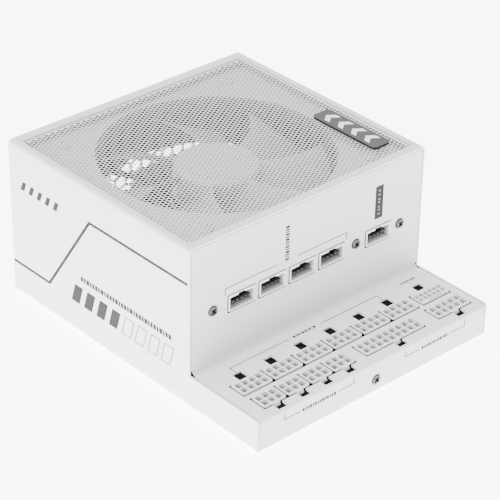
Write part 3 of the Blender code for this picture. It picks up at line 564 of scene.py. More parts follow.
def make_cover():
    """Top frame and both sides, with round front edges and a round corner over the ledge."""
    shape = bmesh.new()
    outline = cover_profile(0.0) + cover_profile(SHEET)[::-1]
    add_prism(shape, outline, "y", FRONT, REAR)
    cover = to_object("folded_cover", shape, WHITE)
    left, right = LEFT - PAST, RIGHT + PAST
    before, over = FRONT - PAST, HEIGHT + PAST
    corner_y, corner_z = FRONT + LEDGE_BEND, LEDGE - LEDGE_BEND
    step = [(WALL, over), (WALL, LEDGE)]
    step += arc((corner_y, corner_z), LEDGE_BEND, 90, 180, 8)
    step += [(before, corner_z), (before, over)]
    cut_prism(cover, step, "x", left, right)
    foot = [(corner_y, -PAST)] + arc((corner_y, LEDGE_BEND), LEDGE_BEND, 270, 180, 8)
    foot += [(before, LEDGE_BEND), (before, -PAST)]
    cut_prism(cover, foot, "x", left, right)
    flange = bmesh.new()
    inner = RIGHT - BOTTOM_BEND
    add_block(flange, (-inner, before, -PAST), (inner, FRONT + 9.5 * MM, 2 * SHEET))
    combine(cover, flange)
    low = (GRILLE_LOW[0] - SEAM, GRILLE_LOW[1] - SEAM)
    high = (GRILLE_HIGH[0] + SEAM, GRILLE_HIGH[1] + SEAM)
    window = rounded_rectangle(low, high, 2 * MM, 8)
    cut_prism(cover, window, "z", HEIGHT - 4 * MM, over)

    edges = bmesh.new()
    edges.from_mesh(cover.data)
    near = 0.01 * MM

    def stands_at(edge, y):
        return all(abs(vert.co.y - y) < near for vert in edge.verts)

    upright = [
        e for e in edges.edges
        if all(abs(abs(v.co.x) - RIGHT) < near for v in e.verts)
        and (stands_at(e, FRONT) or stands_at(e, WALL))
        and abs(e.verts[0].co.z - e.verts[1].co.z) > 1 * MM
    ]
    bmesh.ops.bevel(
        edges, geom=upright, offset=0.75 * MM, segments=4, affect="EDGES", profile=0.5)
    edges.to_mesh(cover.data)
    edges.free()
    soften(cover, 0.22 * MM, 3)

    def is_inside(face):
        x, z = face.center.x, face.center.z
        inward = face.normal.x * x < -0.5 * abs(x) and z < HEIGHT - 2 * SHEET
        under = face.normal.z < -0.5 and z > HEIGHT / 2
        return inward or under

    # Inner faces: bare steel darkened as painted shade.
    paint_where(cover, BARE_STEEL_SHADE, is_inside)
    return show(cover, "white_paint", "cover_shell")


# ---------------- mesh and badge

def slab(name, points, faces, low, high, look):
    """A flat sheet from a plan of points and faces, walled along every open edge."""
    count = len(points)
    verts = [(x, y, high) for x, y in points] + [(x, y, low) for x, y in points]
    solid = [tuple(face) for face in faces]
    solid += [tuple(count + i for i in reversed(face)) for face in faces]
    directed = {(face[i], face[(i + 1) % len(face)]) for face in faces for i in range(len(face))}
    for a, b in sorted(directed):
        if (b, a) not in directed:
            solid.append((b, a, count + a, count + b))
    mesh = bpy.data.meshes.new(name)
    mesh.from_pydata(verts, [], solid)
    mesh.materials.append(look)
    return link_new(name, mesh)


def stitch(outer, inner):
    """Triangles between two rings of points round one centre; "o" and "i" name the ring."""
    def turn(point):
        return math.atan2(point[1], point[0]) % (2 * math.pi)

    def next_turn(ring, order, k):
        once_round = 2 * math.pi if k + 1 >= len(ring) else 0.0
        return turn(ring[order[(k + 1) % len(ring)]]) + once_round

    outer_order = sorted(range(len(outer)), key=lambda k: turn(outer[k]))
    inner_order = sorted(range(len(inner)), key=lambda k: turn(inner[k]))
    faces = []
    i = j = 0
    while i < len(outer) or j < len(inner):
        a = ("o", outer_order[i % len(outer)])
        b = ("i", inner_order[j % len(inner)])
        outer_first = next_turn(outer, outer_order, i) <= next_turn(inner, inner_order, j)
        if j >= len(inner) or (i < len(outer) and outer_first):
            faces.append((a, ("o", outer_order[(i + 1) % len(outer)]), b))
            i += 1
        else:
            faces.append((a, ("i", inner_order[(j + 1) % len(inner)]), b))
            j += 1
    return faces


def mesh_plan():
    """Points and faces of the mesh seen from above: staggered holes inside a plain rim."""
    first_x, last_x = across(5.7), across(143.3)
    rear_y, front_y = REAR - 7.3 * MM, REAR - 128.85 * MM
    w = (last_x - first_x) / (HOLE_COLUMNS - 1) / 2
    h = (rear_y - front_y) / (HOLE_ROWS - 1) / 2
    cell = [(w, -h), (w, 0.0), (w, h), (-w, h), (-w, 0.0), (-w, -h)]
    hole = []
    for k in range(HOLE_SIDES):
        angle = math.radians(22.5 + 45 * k)
        hole.append((HOLE_RADIUS * math.cos(angle), HOLE_RADIUS * math.sin(angle)))
    pattern = stitch(cell, hole)
    points, seen, faces = [], {}, []

    def point(x, y):
        key = (round(x * 1e6), round(y * 1e6))
        if key not in seen:
            seen[key] = len(points)
            points.append((x, y))
        return seen[key]

    def add_face(*corners):
        faces.append([point(x, y) for x, y in corners])

    for column in range(HOLE_COLUMNS):
        x = first_x + 2 * w * column
        odd = column % 2
        for row in range(HOLE_ROWS - odd):
            y = front_y + 2 * h * row + h * odd
            outer = [point(x + a, y + b) for a, b in cell]
            inner = [point(x + a, y + b) for a, b in hole]
            for face in pattern:
                faces.append([outer[k] if ring == "o" else inner[k] for ring, k in face])
        if odd:
            for y in (front_y - h, rear_y):
                add_face((x - w, y), (x + w, y), (x + w, y + h), (x - w, y + h))

    left, right = first_x - w, last_x + w
    front, rear = front_y - h, rear_y + h
    for low, high in ((GRILLE_LOW[0], left), (right, GRILLE_HIGH[0])):
        for k in range(2 * HOLE_ROWS):
            a, b = front + h * k, front + h * (k + 1)
            add_face((low, a), (high, a), (high, b), (low, b))
    for low, high in ((GRILLE_LOW[1], front), (rear, GRILLE_HIGH[1])):
        for k in range(HOLE_COLUMNS):
            a, b = left + 2 * w * k, left + 2 * w * (k + 1)
            add_face((a, low), (b, low), (b, high), (a, high))
    pull = 0.5 * MM
    for x, edge_x, side_x in ((left, GRILLE_LOW[0], 1), (right, GRILLE_HIGH[0], -1)):
        for y, edge_y, side_y in ((front, GRILLE_LOW[1], 1), (rear, GRILLE_HIGH[1], -1)):
            tip = (edge_x + side_x * pull, edge_y + side_y * pull)
            corner = [point(*spot) for spot in ((x, y), (edge_x, y), tip, (x, edge_y))]
            faces.append(corner if side_x * side_y > 0 else corner[::-1])
    return points, faces


def make_mesh_lip():
    """The white ledge under the mesh's seam, so that the seam isn't a dark gap."""
    lip = bmesh.new()
    out, inside = 1.4 * MM, 1.2 * MM
    low, high = GRILLE_HIGH[2] - 1.5 * MM, GRILLE_HIGH[2] - 1.25 * MM
    front, rear = GRILLE_LOW[1], GRILLE_HIGH[1]
    half = GRILLE_HIGH[0]
    for side in (-1, 1):
        a, b = sorted((side * (half - inside), side * (half + out)))
        add_block(lip, (a, front - out, low), (b, rear + out, high))
    for a, b in ((front - out, front + inside), (rear - inside, rear + out)):
        add_block(lip, (GRILLE_LOW[0] + inside, a, low), (half - inside, b, high))
    return show(to_object("mesh_lip", lip, WHITE), "white_paint")


def make_grille():
    """The mesh: staggered round holes in a thin sheet with a plain rim."""
    make_mesh_lip()
    points, faces = mesh_plan()
    top = GRILLE_HIGH[2]
    grille = slab("mesh_sheet", points, faces, top - MESH_SHEET, top, MESH_WHITE)
    # Hole walls and underside painted dark grey as shade.
    paint_where(grille, MESH_HOLE_SHADE, lambda face: face.normal.z < 0.5)
    return show(smooth(grille, 50), "mesh_paint", "fan_grille")


def chevron(x, y, reach, half, thick):
    """The outline of an arrow-like mark that points to +x."""
    return [
        (x, y - half), (x + thick, y - half), (x + thick + reach, y),
        (x + thick, y + half), (x, y + half), (x + reach, y),
    ]


def make_badge():
    """The small grey plate on the mesh, with cut corners and four arrow-like marks."""
    low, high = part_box("badge")
    shape = bmesh.new()
    add_prism(shape, rounded_rectangle(low[:2], high[:2], 1.8 * MM, 1), "z", low[2], high[2])
    badge = soften(to_object("badge_plate", shape, GREY_METAL), 0.2 * MM, 3)
    # Painted shade: the plate's sides get a near black.
    paint_where(badge, BADGE_SIDE_SHADE, lambda face: abs(face.normal.z) < 0.5)
    show(badge, "badge_plate", "badge")
    marks = bmesh.new()
    middle = (low[0] + high[0]) / 2
    for k in range(4):
        y = low[1] + (5.6 + 9.3 * k) * MM
        outline = [(middle + b, a) for a, b in chevron(y, 0.0, 3.0 * MM, 3.9 * MM, 3.4 * MM)]
        add_prism(marks, outline[::-1], "z", high[2] - PRINT_ROOT, high[2] + PRINT)
    return show(to_object("badge_marks", marks, WHITE_INK), "badge_plate")


# ---------------- front

def ledge_profile(inset):
    """The folded front sheet from the wall's top to its flange under the floor, as y, z points."""
    points = [(WALL + inset, PANEL_TOP)]
    points += arc((WALL - WALL_BEND, LEDGE + WALL_BEND), WALL_BEND + inset, 0, -90, 12)
    y = FRONT + LEDGE_BEND
    points += arc((y, LEDGE - LEDGE_BEND), LEDGE_BEND - inset, 90, 180, 10)
    points += arc((y, LEDGE_BEND), LEDGE_BEND - inset, 180, 270, 10)
    return points + [(FRONT + LEDGE_FLANGE, inset)]


def both_sides(shape, outline, low, high):
    """The same prism at the right and, mirrored, at the left."""
    for side in (-1, 1):
        add_prism(shape, [(side * x, z) for x, z in outline], "y", low, high)


def cut_panel_corners(panel):
    """Make room for the cover's bends at the panel's foot, top and inner corners."""
    gap = 0.2 * MM
    beyond = RIGHT + PAST
    corners = bmesh.new()
    edge = RIGHT - BOTTOM_BEND
    foot = [(edge, -PAST), (beyond, -PAST), (beyond, BOTTOM_BEND)]
    foot += arc((edge, BOTTOM_BEND), BOTTOM_BEND - SHEET - gap, 0, -90, 8) + [(edge, SHEET)]
    both_sides(corners, foot, FRONT - PAST, FRONT + 10 * MM)
    centre = (RIGHT - TOP_BEND, HEIGHT - TOP_BEND)
    head = arc(centre, TOP_BEND - SHEET - gap, 0, 90, 6)
    head += [(centre[0], HEIGHT), (beyond, HEIGHT), (beyond, centre[1])]
    both_sides(corners, head, WALL - PAST, WALL + BEHIND)
    for side in (-1, 1):
        a, b = sorted((side * (INNER_X - 0.9 * MM), side * beyond))
        low = (a, WALL - 2.6 * MM, LEDGE - 2 * MM)
        add_block(corners, low, (b, WALL + 2 * MM, LEDGE + 2.2 * MM))
    combine(panel, corners)


def cut_panel_holes(panel):
    """Openings for the sockets, headers and screws."""
    holes = bmesh.new()
    room = SOCKET_ROOM
    for first, last in SOCKET_GROUPS:
        (x0, y0, _), (x1, y1, _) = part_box(first)[0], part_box(last)[1]
        low, high = (x0 - room, y0 - room), (x1 + room, y1 + room)
        outline = rounded_rectangle(low, high, 0.6 * MM, 3)
        add_prism(holes, outline, "z", LEDGE - BEHIND, LEDGE + PAST)
    for name in HEADER_NAMES:
        (x0, _, z0), (x1, _, z1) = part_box(name)
        low, high = (x0 - room, z0 - room), (x1 + room, z1 + room)
        outline = rounded_rectangle(low, high, 0.5 * MM, 3)
        add_prism(holes, outline, "y", WALL - PAST, WALL + BEHIND)
    for name in SCREW_NAMES:
        (x0, y0, z0), (x1, _, z1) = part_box(name)
        centre = ((x0 + x1) / 2, (z0 + z1) / 2)
        add_rod(holes, centre, 2.8 * MM, y0 - PAST, y0 + 4.5 * MM, "y", 40)
    combine(panel, holes)


def cut_latch_windows(panel):
    """One window in the ledge beside each socket, where its plug's latch reaches in."""
    windows = bmesh.new()
    for name in SOCKET_NAMES:
        (x0, y0, _), (x1, y1, _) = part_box(name)
        x = (x0 + x1) / 2
        if y0 > ROWS_MEET:
            shorter = 0.7 * MM if name == "socket_12v" else 0.0
            near, far = y1 - 0.5 * MM, y1 + 6.5 * MM - shorter
        else:
            near, far = FRONT + 1.25 * MM, y0 + 0.5 * MM
        low, high = (x - 2.3 * MM, near, LEDGE - BEHIND), (x + 3.2 * MM, far, LEDGE + PAST)
        add_block(windows, low, high)
    combine(panel, windows)


def make_front():
    """The wall, the ledge and the ledge's front, one folded sheet, and black strips in the seams
    at its edges as painted shadow.
    """
    shape = bmesh.new()
    add_prism(shape, ledge_profile(0.0) + ledge_profile(SHEET)[::-1], "x", -INNER_X, INNER_X)
    panel = to_object("folded_front", shape, FRONT_WHITE_PAINTED_SHADE)
    cut_panel_corners(panel)
    cut_panel_holes(panel)
    cut_latch_windows(panel)
    soften(panel, 0.18 * MM, 2)
    show(panel, "white_paint", "front_panel")

    # Painted shadow: thin black strips in the seams beside and above the wall.
    seam_shadow = bmesh.new()
    front, back = WALL + 0.02 * MM, WALL + 0.8 * MM
    for side in (-1, 1):
        a, b = sorted((side * INNER_X, side * (INNER_X + SEAM)))
        add_block(seam_shadow, (a, front, LEDGE + 3 * MM), (b, back, PANEL_TOP - 1 * MM))
    inner = INNER_X - 1 * MM
    add_block(seam_shadow, (-inner, front, PANEL_TOP), (inner, back, PANEL_TOP + 0.2 * MM))
    return show(to_object("wall_seam_shadow", seam_shadow, BLACK), "black_plastic")


def make_screw(name):
    """A flat pan-head screw sunk a little in the sheet, with a dished cross recess whose deep
    faces are painted near black as shade.
    """
    (x0, y0, z0), (x1, y1, z1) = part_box(name)
    x, z = (x0 + x1) / 2, (z0 + z1) / 2
    radius, shank, dish = 2.45 * MM, 1.5 * MM, 1.35 * MM
    face = y0 + 0.85 * MM
    sunk = face + 0.2 * MM
    back = face + 2.0 * MM
    profile = [
        (0.0, sunk), (dish - 0.2 * MM, sunk), (dish, face + 0.02 * MM),
        (radius - 0.55 * MM, face), (radius - 0.2 * MM, face + 0.15 * MM),
        (radius, face + 0.5 * MM), (radius, back), (shank, back), (shank, y1), (0.0, y1),
    ]
    shape = turned([(r, -y) for r, y in profile], 48)
    stand = Matrix.Translation((x, 0, z)) @ Matrix.Rotation(math.pi / 2, 4, "X")
    bmesh.ops.transform(shape, matrix=stand, verts=shape.verts)
    screw = to_object(name + "_head", shape, SCREW_GREY)
    turn = Matrix.Translation((x, 0, z)) @ Matrix.Rotation(math.radians(45), 4, "Y")
    for a, b in ((1.7 * MM, 0.5 * MM), (0.5 * MM, 1.7 * MM)):
        arm = bmesh.new()
        add_block(arm, (-a, face - PAST, -b), (a, face + 0.8 * MM, b))
        bmesh.ops.transform(arm, matrix=turn, verts=arm.verts)
        combine(screw, arm)
    smooth(screw, 30)

    # Painted shade: the deep faces of the cross recess.
    def in_recess(part):
        reach = math.hypot(part.center.x - x, part.center.z - z)
        return reach < 1.6 * MM and part.center.y > face + 0.22 * MM

    paint_where(screw, SCREW_RECESS_SHADE, in_recess)
    return show(screw, "screw_steel", name)


# ---------------- sockets and headers

def show_pins(name, shape, round_width):
    pins = soften(to_object(name + "_pins", shape, PIN_METAL_PAINTED_SHADE), round_width, 2)
    return show(pins, "contact_brass")


def show_gap_shadow(name, blocks):
    """Black strips in the gap round a connector, as painted shadow in that gap."""
    gap_shadow = bmesh.new()
    for low, high in blocks:
        add_block(gap_shadow, low, high)
    return show(to_object(name + "_gap_shadow", gap_shadow, BLACK), "black_plastic")


def keyed_cell(a, b, half, side):
    """A square cell's outline with the two corners cut on one side, so that it takes one plug."""
    cut = 0.95 * MM
    outline = [
        (a - half, b - side * half), (a + half, b - side * half),
        (a + half, b + side * (half - cut)), (a + half - cut, b + side * half),
        (a - half + cut, b + side * half), (a - half, b + side * (half - cut)),
    ]
    return outline if side > 0 else outline[::-1]


def make_socket(name):
    """A cable socket: a chamfered block with two rows of cells, half of them keyed, and a ramp."""
    (x0, y0, bottom), (x1, y1, top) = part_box(name)
    x, y = (x0 + x1) / 2, (y0 + y1) / 2
    fine = name == "socket_12v"
    pitch, half, thick = FINE_CELL if fine else CELL
    columns = FINE_COLUMNS if fine else round((x1 - x0) / pitch)
    cut = 0.8 * MM
    outline = [
        (x0 + cut, y0), (x1 - cut, y0), (x1, y0 + cut), (x1, y1 - cut),
        (x1 - cut, y1), (x0 + cut, y1), (x0, y1 - cut), (x0, y0 + cut),
    ]
    shape = bmesh.new()
    add_prism(shape, outline, "z", bottom, top)
    made = to_object(name + "_body", shape, SOCKET_WHITE)
    ramp = bmesh.new()
    wall, away = (y1, 1) if y0 > ROWS_MEET else (y0, -1)
    steps = ((-0.6, 0.0), (0.0, 0.0), (1.15, -1.88), (1.15, -3.4), (-0.6, -3.4))
    outline = [(wall + away * a * MM, top + b * MM) for a, b in steps]
    add_prism(ramp, outline, "x", x - 2.0 * MM, x + 2.0 * MM)
    combine(made, ramp, "UNION")
    cells = bmesh.new()
    pins = bmesh.new()
    for row in (-1, 1):
        for column in range(columns):
            a = x + (column - (columns - 1) / 2) * pitch
            b = y + row * pitch / 2
            if (column + (row > 0)) % 2 and not fine:
                outline = keyed_cell(a, b, half, row)
            else:
                low, high = (a - half, b - half), (a + half, b + half)
                outline = rounded_rectangle(low, high, 0.22 * MM, 2)
            add_prism(cells, outline, "z", bottom + 2 * MM, top + PAST)
            outline = rectangle(a - thick, b - thick, a + thick, b + thick)
            add_prism(pins, outline, "z", bottom + 1 * MM, top - 2.3 * MM)
    if fine:
        low, high = (x - 4.35 * MM, y - 4.25 * MM), (x + 4.35 * MM, y - 3.55 * MM)
        add_prism(cells, rounded_rectangle(low, high, 0.1 * MM, 1), "z", top - 5 * MM, top + PAST)
    combine(made, cells)
    soften(made, 0.12 * MM, 2, 40)
    show(made, "white_plastic", name)
    show_pins(name, pins, 0.15 * MM)

    out, inside = 0.5 * MM, 0.1 * MM
    has_neighbour = name[-1] in "23456"
    left_top = LEDGE + (0.35 * MM if has_neighbour else 0.0)
    root, sunk = LEDGE - 1.35 * MM, LEDGE - 0.3 * MM
    # Painted shadow strips in the gap round the socket.
    show_gap_shadow(name, (
        ((x0 - out, y0 - out, root), (x0 + inside, y1 + out, left_top)),
        ((x1 - inside, y0 - out, root), (x1 + out, y1 + out, sunk)),
        ((x0 + inside, y0 - out, root), (x1 - inside, y0 + inside, LEDGE)),
        ((x0 + inside, y1 - inside, root), (x1 - inside, y1 + out, sunk)),
    ))


def make_header(name):
    """A five-pin header in the wall, with a keyed mouth and square pins."""
    (x0, y0, z0), (x1, y1, z1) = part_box(name)
    x, z = (x0 + x1) / 2, (z0 + z1) / 2
    shape = bmesh.new()
    add_prism(shape, rounded_rectangle((x0, z0), (x1, z1), 0.3 * MM, 3), "y", y0, y1)
    made = to_object(name + "_body", shape, HEADER_WHITE)
    half_x, half_z, key = 7.4 * MM, 3.6 * MM, 2.2 * MM
    floor, roof, key_roof = z - half_z, z + half_z - 0.5 * MM, z + half_z + 0.3 * MM
    mouth = [
        (x - half_x, floor), (x + half_x, floor), (x + half_x, roof), (x + key, roof),
        (x + key, key_roof), (x - key, key_roof), (x - key, roof), (x - half_x, roof),
    ]
    cut_prism(made, mouth, "y", y0 - PAST, y0 + 8.5 * MM)
    soften(made, 0.14 * MM, 2, 40)
    show(made, "white_plastic", name)
    pins = bmesh.new()
    thick = 0.32 * MM
    for k in (-2, -1, 0, 1, 2):
        place = x + k * 2.6 * MM
        low = (place - thick, y0 + 0.4 * MM, z + 0.3 * MM - thick)
        add_block(pins, low, (place + thick, y0 + 8 * MM, z + 0.3 * MM + thick))
    show_pins(name, pins, 0.12 * MM)

    out = 0.5 * MM
    sunk, back = WALL + 0.3 * MM, WALL + 0.9 * MM
    # Painted shadow strips in the gap round the header.
    show_gap_shadow(name, (
        ((x0 - out, WALL - 0.05 * MM, z0 - out), (x0, back, z1 + out)),
        ((x0 - out, y0 + 0.05 * MM, z0 - out), (x1, back, z0)),
        ((x1, sunk, z0), (x1 + out, back, z1 + out)),
        ((x0, sunk, z1), (x1, back, z1 + out)),
    ))


# ---------------- prints, in millimetres

def ribbon(points, width):
    """The outline of a bent line of even width."""
    sides = ([], [])
    for i, (x, y) in enumerate(points):
        normals = []
        for a, b in ((i - 1, i), (i, i + 1)):
            if a >= 0 and b < len(points):
                dx, dy = points[b][0] - points[a][0], points[b][1] - points[a][1]
                length = math.hypot(dx, dy)
                normals.append((-dy / length, dx / length))
        nx = sum(n[0] for n in normals) / len(normals)
        ny = sum(n[1] for n in normals) / len(normals)
        reach = width / 2 / (nx * nx + ny * ny)
        sides[0].append((x + nx * reach, y + ny * reach))
        sides[1].append((x - nx * reach, y - ny * reach))
    return sides[0] + sides[1][::-1]


def slanted(u, head, foot, width, lean):
    """The outline of a bar whose head leans past its foot."""
    return [(u, foot), (u + width, foot), (u + (width + lean), head), (u + lean, head)]


def dashes(start, end, low, high, lengths, upright=False):
    """A row of short bars that stands for a line of small print."""
    outlines = []
    place, k = start, 0
    while place + lengths[k % len(lengths)] <= end:
        stop = place + lengths[k % len(lengths)]
        if upright:
            outlines.append(rectangle(low, place, high, stop))
        else:
            outlines.append(rectangle(place, low, stop, high))
        place = stop + DASH_GAP
        k += 1
    return outlines


def show_prints(name, look, axis, surface, outward, spot, outlines):
    """Ink on a flat face; spot turns an outline's two millimetre numbers into metres there."""
    shape = bmesh.new()
    low, high = sorted((surface - outward * PRINT_ROOT, surface + outward * PRINT))
    for outline in outlines:
        add_prism(shape, [spot(a, b) for a, b in outline], axis, low, high)
    return show(to_object(name, shape, look), "badge_plate")


def make_wall_prints():
    """A bracket over four headers with bars in its middle, and a dark panel over the fifth."""
    def on_wall(x, z):
        return (across(x), z * MM)

    lines = []
    for end, middle in ((21.6, 53.6), (98.8, 66.6)):
        lines.append(ribbon([(end, 53.0), (end, 57.0), (middle, 57.0)], BRACKET_LINE))
    lines += dashes(57.0, 76.4, 58.7, 61.2, (1.0, 0.6, 0.8, 1.2, 0.7), True)
    show_prints("wall_lines", GREY_INK, "y", WALL, -1, on_wall, lines)
    panel = [rectangle(117.2, 56.8, 122.5, 75.0)]
    show_prints("wall_panel", DARK_INK, "y", WALL, -1, on_wall, panel)
    heights = (59.0, 61.2, 62.9, 65.4, 67.1, 69.6, 71.8)
    bars = [rectangle(119.2, z, 120.5, z + 0.8) for z in heights]
    show_prints("wall_panel_marks", PALE_INK, "y", WALL - PRINT, -1, on_wall, bars)


def make_ledge_prints():
    """A bracket behind the rear row of sockets, and a short tick behind the 12 V socket."""
    def on_ledge(x, v):
        return (across(x), WALL - v * MM)

    lines = []
    for end, middle in ((18.5, 55.8), (113.9, 76.6)):
        lines.append(ribbon([(end, 11.6), (end, 7.3), (middle, 7.3)], BRACKET_LINE))
    lines += dashes(58.4, 74.0, 6.5, 8.1, (1.2, 0.8, 1.0, 0.6, 1.3))
    lines += dashes(130.2, 140.4, 6.8, 8.2, (1.0, 0.7, 1.2))
    lines.append(rectangle(134.8, 9.5, 135.2, 11.2))
    show_prints("ledge_lines", GREY_INK, "z", LEDGE, 1, on_ledge, lines)


def make_front_prints():
    """Two brackets on the ledge's front, each with bars in its middle."""
    def on_front(x, v):
        return (across(x), LEDGE - v * MM)

    lines = []
    for a, b, c, d in ((16.4, 26.0, 50.5, 60.2), (93.8, 103.5, 124.5, 134.6)):
        lines.append(ribbon([(a, 2.9), (a, 6.25), (b, 6.25)], BRACKET_LINE))
        lines.append(ribbon([(c, 6.25), (d, 6.25), (d, 2.9)], BRACKET_LINE))
        lines += dashes(b + 1.6, c - 1.2, 5.4, 7.1, (1.2, 0.8, 1.0, 1.4, 0.7))
    show_prints("front_lines", GREY_INK, "y", FRONT, -1, on_front, lines)


def make_side_prints():
    """The bent stripe on the left side, slanted bars above it and a row of bars under it."""
    def on_left(u, v):
        return (REAR - u * MM, HEIGHT - v * MM)

    stripe = ribbon([(0.4, 67.6), (29.4, 67.6), (62.5, 18.6), (133.75, 18.6)], 1.6)
    show_prints("side_stripe", MID_INK, "x", LEFT, -1, on_left, [stripe])
    marks = [slanted(8.5 + 6.4 * k, 18.75, 23.75, 3.0, 2.0) for k in range(5)]
    marks += dashes(54.8, 124.0, 51.6, 54.4, (1.9, 1.4, 2.2, 1.2, 1.7))
    for k in range(4):
        u = 47.0 + 9.6 * k
        marks.append(slanted(u, 58.3, 68.5, 6.2, 3.0))
        hollow = slanted(u + 38.8, 58.3, 68.5, 6.2, 3.0)
        for a, b in zip(hollow, hollow[1:] + hollow[:1]):
            marks.append(ribbon([a, b], 0.5))
    show_prints("side_marks", MID_INK, "x", LEFT, -1, on_left, marks)


# ---------------- fan

def make_fan_plate():
    """The sheet under the mesh, with a round opening and four screw holes."""
    low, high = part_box("fan_mount_plate")
    shape = bmesh.new()
    add_block(shape, low, high)
    plate = to_object("fan_sheet", shape, INNER_WHITE)
    holes = bmesh.new()
    bottom, top = low[2] - 2 * MM, high[2] + 2 * MM
    add_rod(holes, (0, FAN_Y), FAN_OPENING, bottom, top, "z", 144)
    for a in (-FAN_SCREW_REACH, FAN_SCREW_REACH):
        for b in (-FAN_SCREW_REACH, FAN_SCREW_REACH):
            add_rod(holes, (a, FAN_Y + b), 2.3 * MM, bottom, top, "z", 32)
    combine(plate, holes)
    soften(plate, 0.15 * MM, 2)
    return show(plate, "white_paint", "fan_mount_plate")


def add_blade(shape, start):
    """One swept, cambered blade whose leading edge meets the hub at an angle in radians."""
    root = HUB_RADIUS - 0.8 * MM
    width = math.radians(BLADE_WIDTH)
    steps = BLADE_STEPS
    upper, lower = [], []
    for i in range(steps + 1):
        share = i / steps
        radius = root + (BLADE_TIP - HUB_RADIUS + 0.8 * MM) * share
        lead = start + math.radians(BLADE_SWEEP) * share ** 1.6
        row_up, row_low = [], []
        for j in range(steps + 1):
            along = j / steps
            angle = lead - width * along
            camber = 1.6 * MM * math.sin(math.pi * along)
            thick = (0.7 + 0.8 * math.sin(math.pi * along)) * MM
            z = FAN_TOP - 0.5 * MM - BLADE_DROP * along - camber
            x, y = radius * math.cos(angle), FAN_Y + radius * math.sin(angle)
            row_up.append(shape.verts.new((x, y, z)))
            row_low.append(shape.verts.new((x, y, z - thick)))
        upper.append(row_up)
        lower.append(row_low)
    for i in range(steps):
        n = i + 1
        for j in range(steps):
            k = j + 1
            shape.faces.new((upper[i][j], upper[n][j], upper[n][k], upper[i][k]))
            shape.faces.new((lower[i][j], lower[i][k], lower[n][k], lower[n][j]))
        for j in (0, steps):
            shape.faces.new((upper[i][j], lower[i][j], lower[n][j], upper[n][j]))
    for i in (0, steps):
        for j in range(steps):
            k = j + 1
            shape.faces.new((upper[i][j], upper[i][k], lower[i][k], lower[i][j]))


def make_rotor():
    """The hub with a rounded rim and its blades."""
    rim = 2 * MM
    inner, ceiling = HUB_RADIUS - HUB_WALL, FAN_TOP - HUB_WALL
    floor = FAN_TOP - HUB_DEPTH
    dish = FAN_TOP - 0.15 * MM
    profile = [(0.0, dish), (HUB_RADIUS - 4 * MM, dish), (HUB_RADIUS - 3.6 * MM, FAN_TOP)]
    profile += [(HUB_RADIUS - rim, FAN_TOP)]
    profile += arc((HUB_RADIUS - rim, FAN_TOP - rim), rim, 80, 0, 8)
    profile += [(HUB_RADIUS, floor), (inner, floor), (inner, ceiling), (0.0, ceiling)]
    rotor = to_object("rotor", turned(profile, 96, (0.0, FAN_Y)), FAN_WHITE)
    blades = bmesh.new()
    for number in range(BLADE_COUNT):
        add_blade(blades, math.radians(BLADE_PHASE) + 2 * math.pi * number / BLADE_COUNT)
    combine(rotor, blades, "UNION")
    return show(smooth(rotor, 40), "fan_plastic", "fan_rotor", body="fan")


# ---------------- switch and carried nodes

def make_rocker_marks():
    """The on bar and the off ring, printed on the rocker's two slopes."""
    low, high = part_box("switch_rocker")
    x, z = (low[0] + high[0]) / 2, (low[2] + high[2]) / 2
    pivot = Matrix.Translation((x, REAR - 3.4 * MM, z))
    at_rest = pivot @ Matrix.Rotation(math.radians(-8), 4, "X")
    slope = math.atan2(1.1, 7.6)
    depth = (2.9 + 1.1 * 4.4 / 7.6) * MM
    on_bar = bmesh.new()
    add_block(on_bar, (-0.3 * MM, -0.05 * MM, -1.4 * MM), (0.3 * MM, 0.06 * MM, 1.4 * MM))
    inner, outer, low, high = 1.0 * MM, 1.5 * MM, -0.06 * MM, 0.05 * MM
    off_ring = turned([(inner, low), (outer, low), (outer, high), (inner, high)], 32)
    upright = Matrix.Rotation(math.pi / 2, 4, "X")
    bmesh.ops.transform(off_ring, matrix=upright, verts=off_ring.verts)
    shape = bmesh.new()
    for mark, side in ((on_bar, -1), (off_ring, 1)):
        place = Matrix.Translation((0, depth, side * 4.4 * MM))
        spot = at_rest @ place @ Matrix.Rotation(-side * slope, 4, "X")
        bmesh.ops.transform(mark, matrix=spot, verts=mark.verts)
        mesh = bpy.data.meshes.new("mark")
        mark.to_mesh(mesh)
        mark.free()
        shape.from_mesh(mesh)
        bpy.data.meshes.remove(mesh)
    return show(to_object("rocker_marks", shape, WHITE_INK), "rocker_plastic", body="rocker")


def finish_carried():
    """Give the CAD nodes that stay their finishes and fine edge rounds."""
    for look, width, *names in CARRIED:
        for name in names:
            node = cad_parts[name]
            node.data.materials.clear()
            node.data.materials.append(look)
            if width:
                round_edges(node, width, 2, 40)


# ---------------- stage and camera

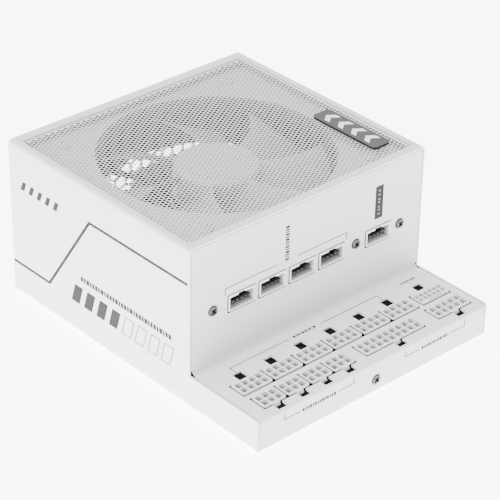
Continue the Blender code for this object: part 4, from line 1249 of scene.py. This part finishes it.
def make_stage():
    """A seamless pale floor under a white sky, with soft lights."""
    shape = bmesh.new()
    add_block(shape, (-6.0, -6.0, -0.01), (6.0, 6.0, -0.0004))
    floor = to_object("floor", shape)
    paper = Look("paper_floor", grey(0.90), 0.9)
    paper.vary_colour(paper.noise(3.0), grey(0.895), grey(0.905))
    paper.shader.inputs["Emission Color"].default_value = (1.0, 1.0, 1.0, 1.0)
    paper.shader.inputs["Emission Strength"].default_value = FLOOR_GLOW
    floor.data.materials.append(paper.material)

    world = bpy.data.worlds.new("studio")
    world.use_nodes = True
    sky = world.node_tree.nodes["Background"]
    sky.inputs["Color"].default_value = (1.0, 1.0, 1.0, 1.0)
    sky.inputs["Strength"].default_value = SKY
    bpy.context.scene.world = world

    for name, place, power, size in LIGHTS:
        data = bpy.data.lights.new(name, "AREA")
        data.energy = power
        data.size = size
        light = link_new(name, data)
        light.location = place
        aim = Vector((0.0, 0.0, 0.04)) - Vector(place)
        light.rotation_mode = "QUATERNION"
        light.rotation_quaternion = aim.to_track_quat("-Z", "Y")


def make_camera():
    data = bpy.data.cameras.new("camera")
    data.lens = CAMERA_LENS
    data.sensor_width = 36.0
    data.clip_start = 0.05
    data.clip_end = 50.0
    camera = link_new("camera", data)
    camera.location = CAMERA_PLACE
    a = math.radians(CAMERA_AZIMUTH)
    e = math.radians(CAMERA_ELEVATION)
    back = Vector((math.sin(a) * math.cos(e), -math.cos(a) * math.cos(e), math.sin(e)))
    camera.rotation_mode = "QUATERNION"
    turn = (-back).to_track_quat("-Z", "Y").to_matrix()
    roll = Matrix.Rotation(math.radians(CAMERA_ROLL), 3, "Z")
    camera.rotation_quaternion = (turn @ roll).to_quaternion()
    bpy.context.scene.camera = camera


def main():
    make_stage()
    make_camera()
    make_cover()
    make_grille()
    make_badge()
    make_front()
    for name in SCREW_NAMES:
        make_screw(name)
    for name in SOCKET_NAMES:
        make_socket(name)
    for name in HEADER_NAMES:
        make_header(name)
    make_wall_prints()
    make_ledge_prints()
    make_front_prints()
    make_side_prints()
    make_fan_plate()
    make_rotor()
    make_rocker_marks()
    finish_carried()


main()
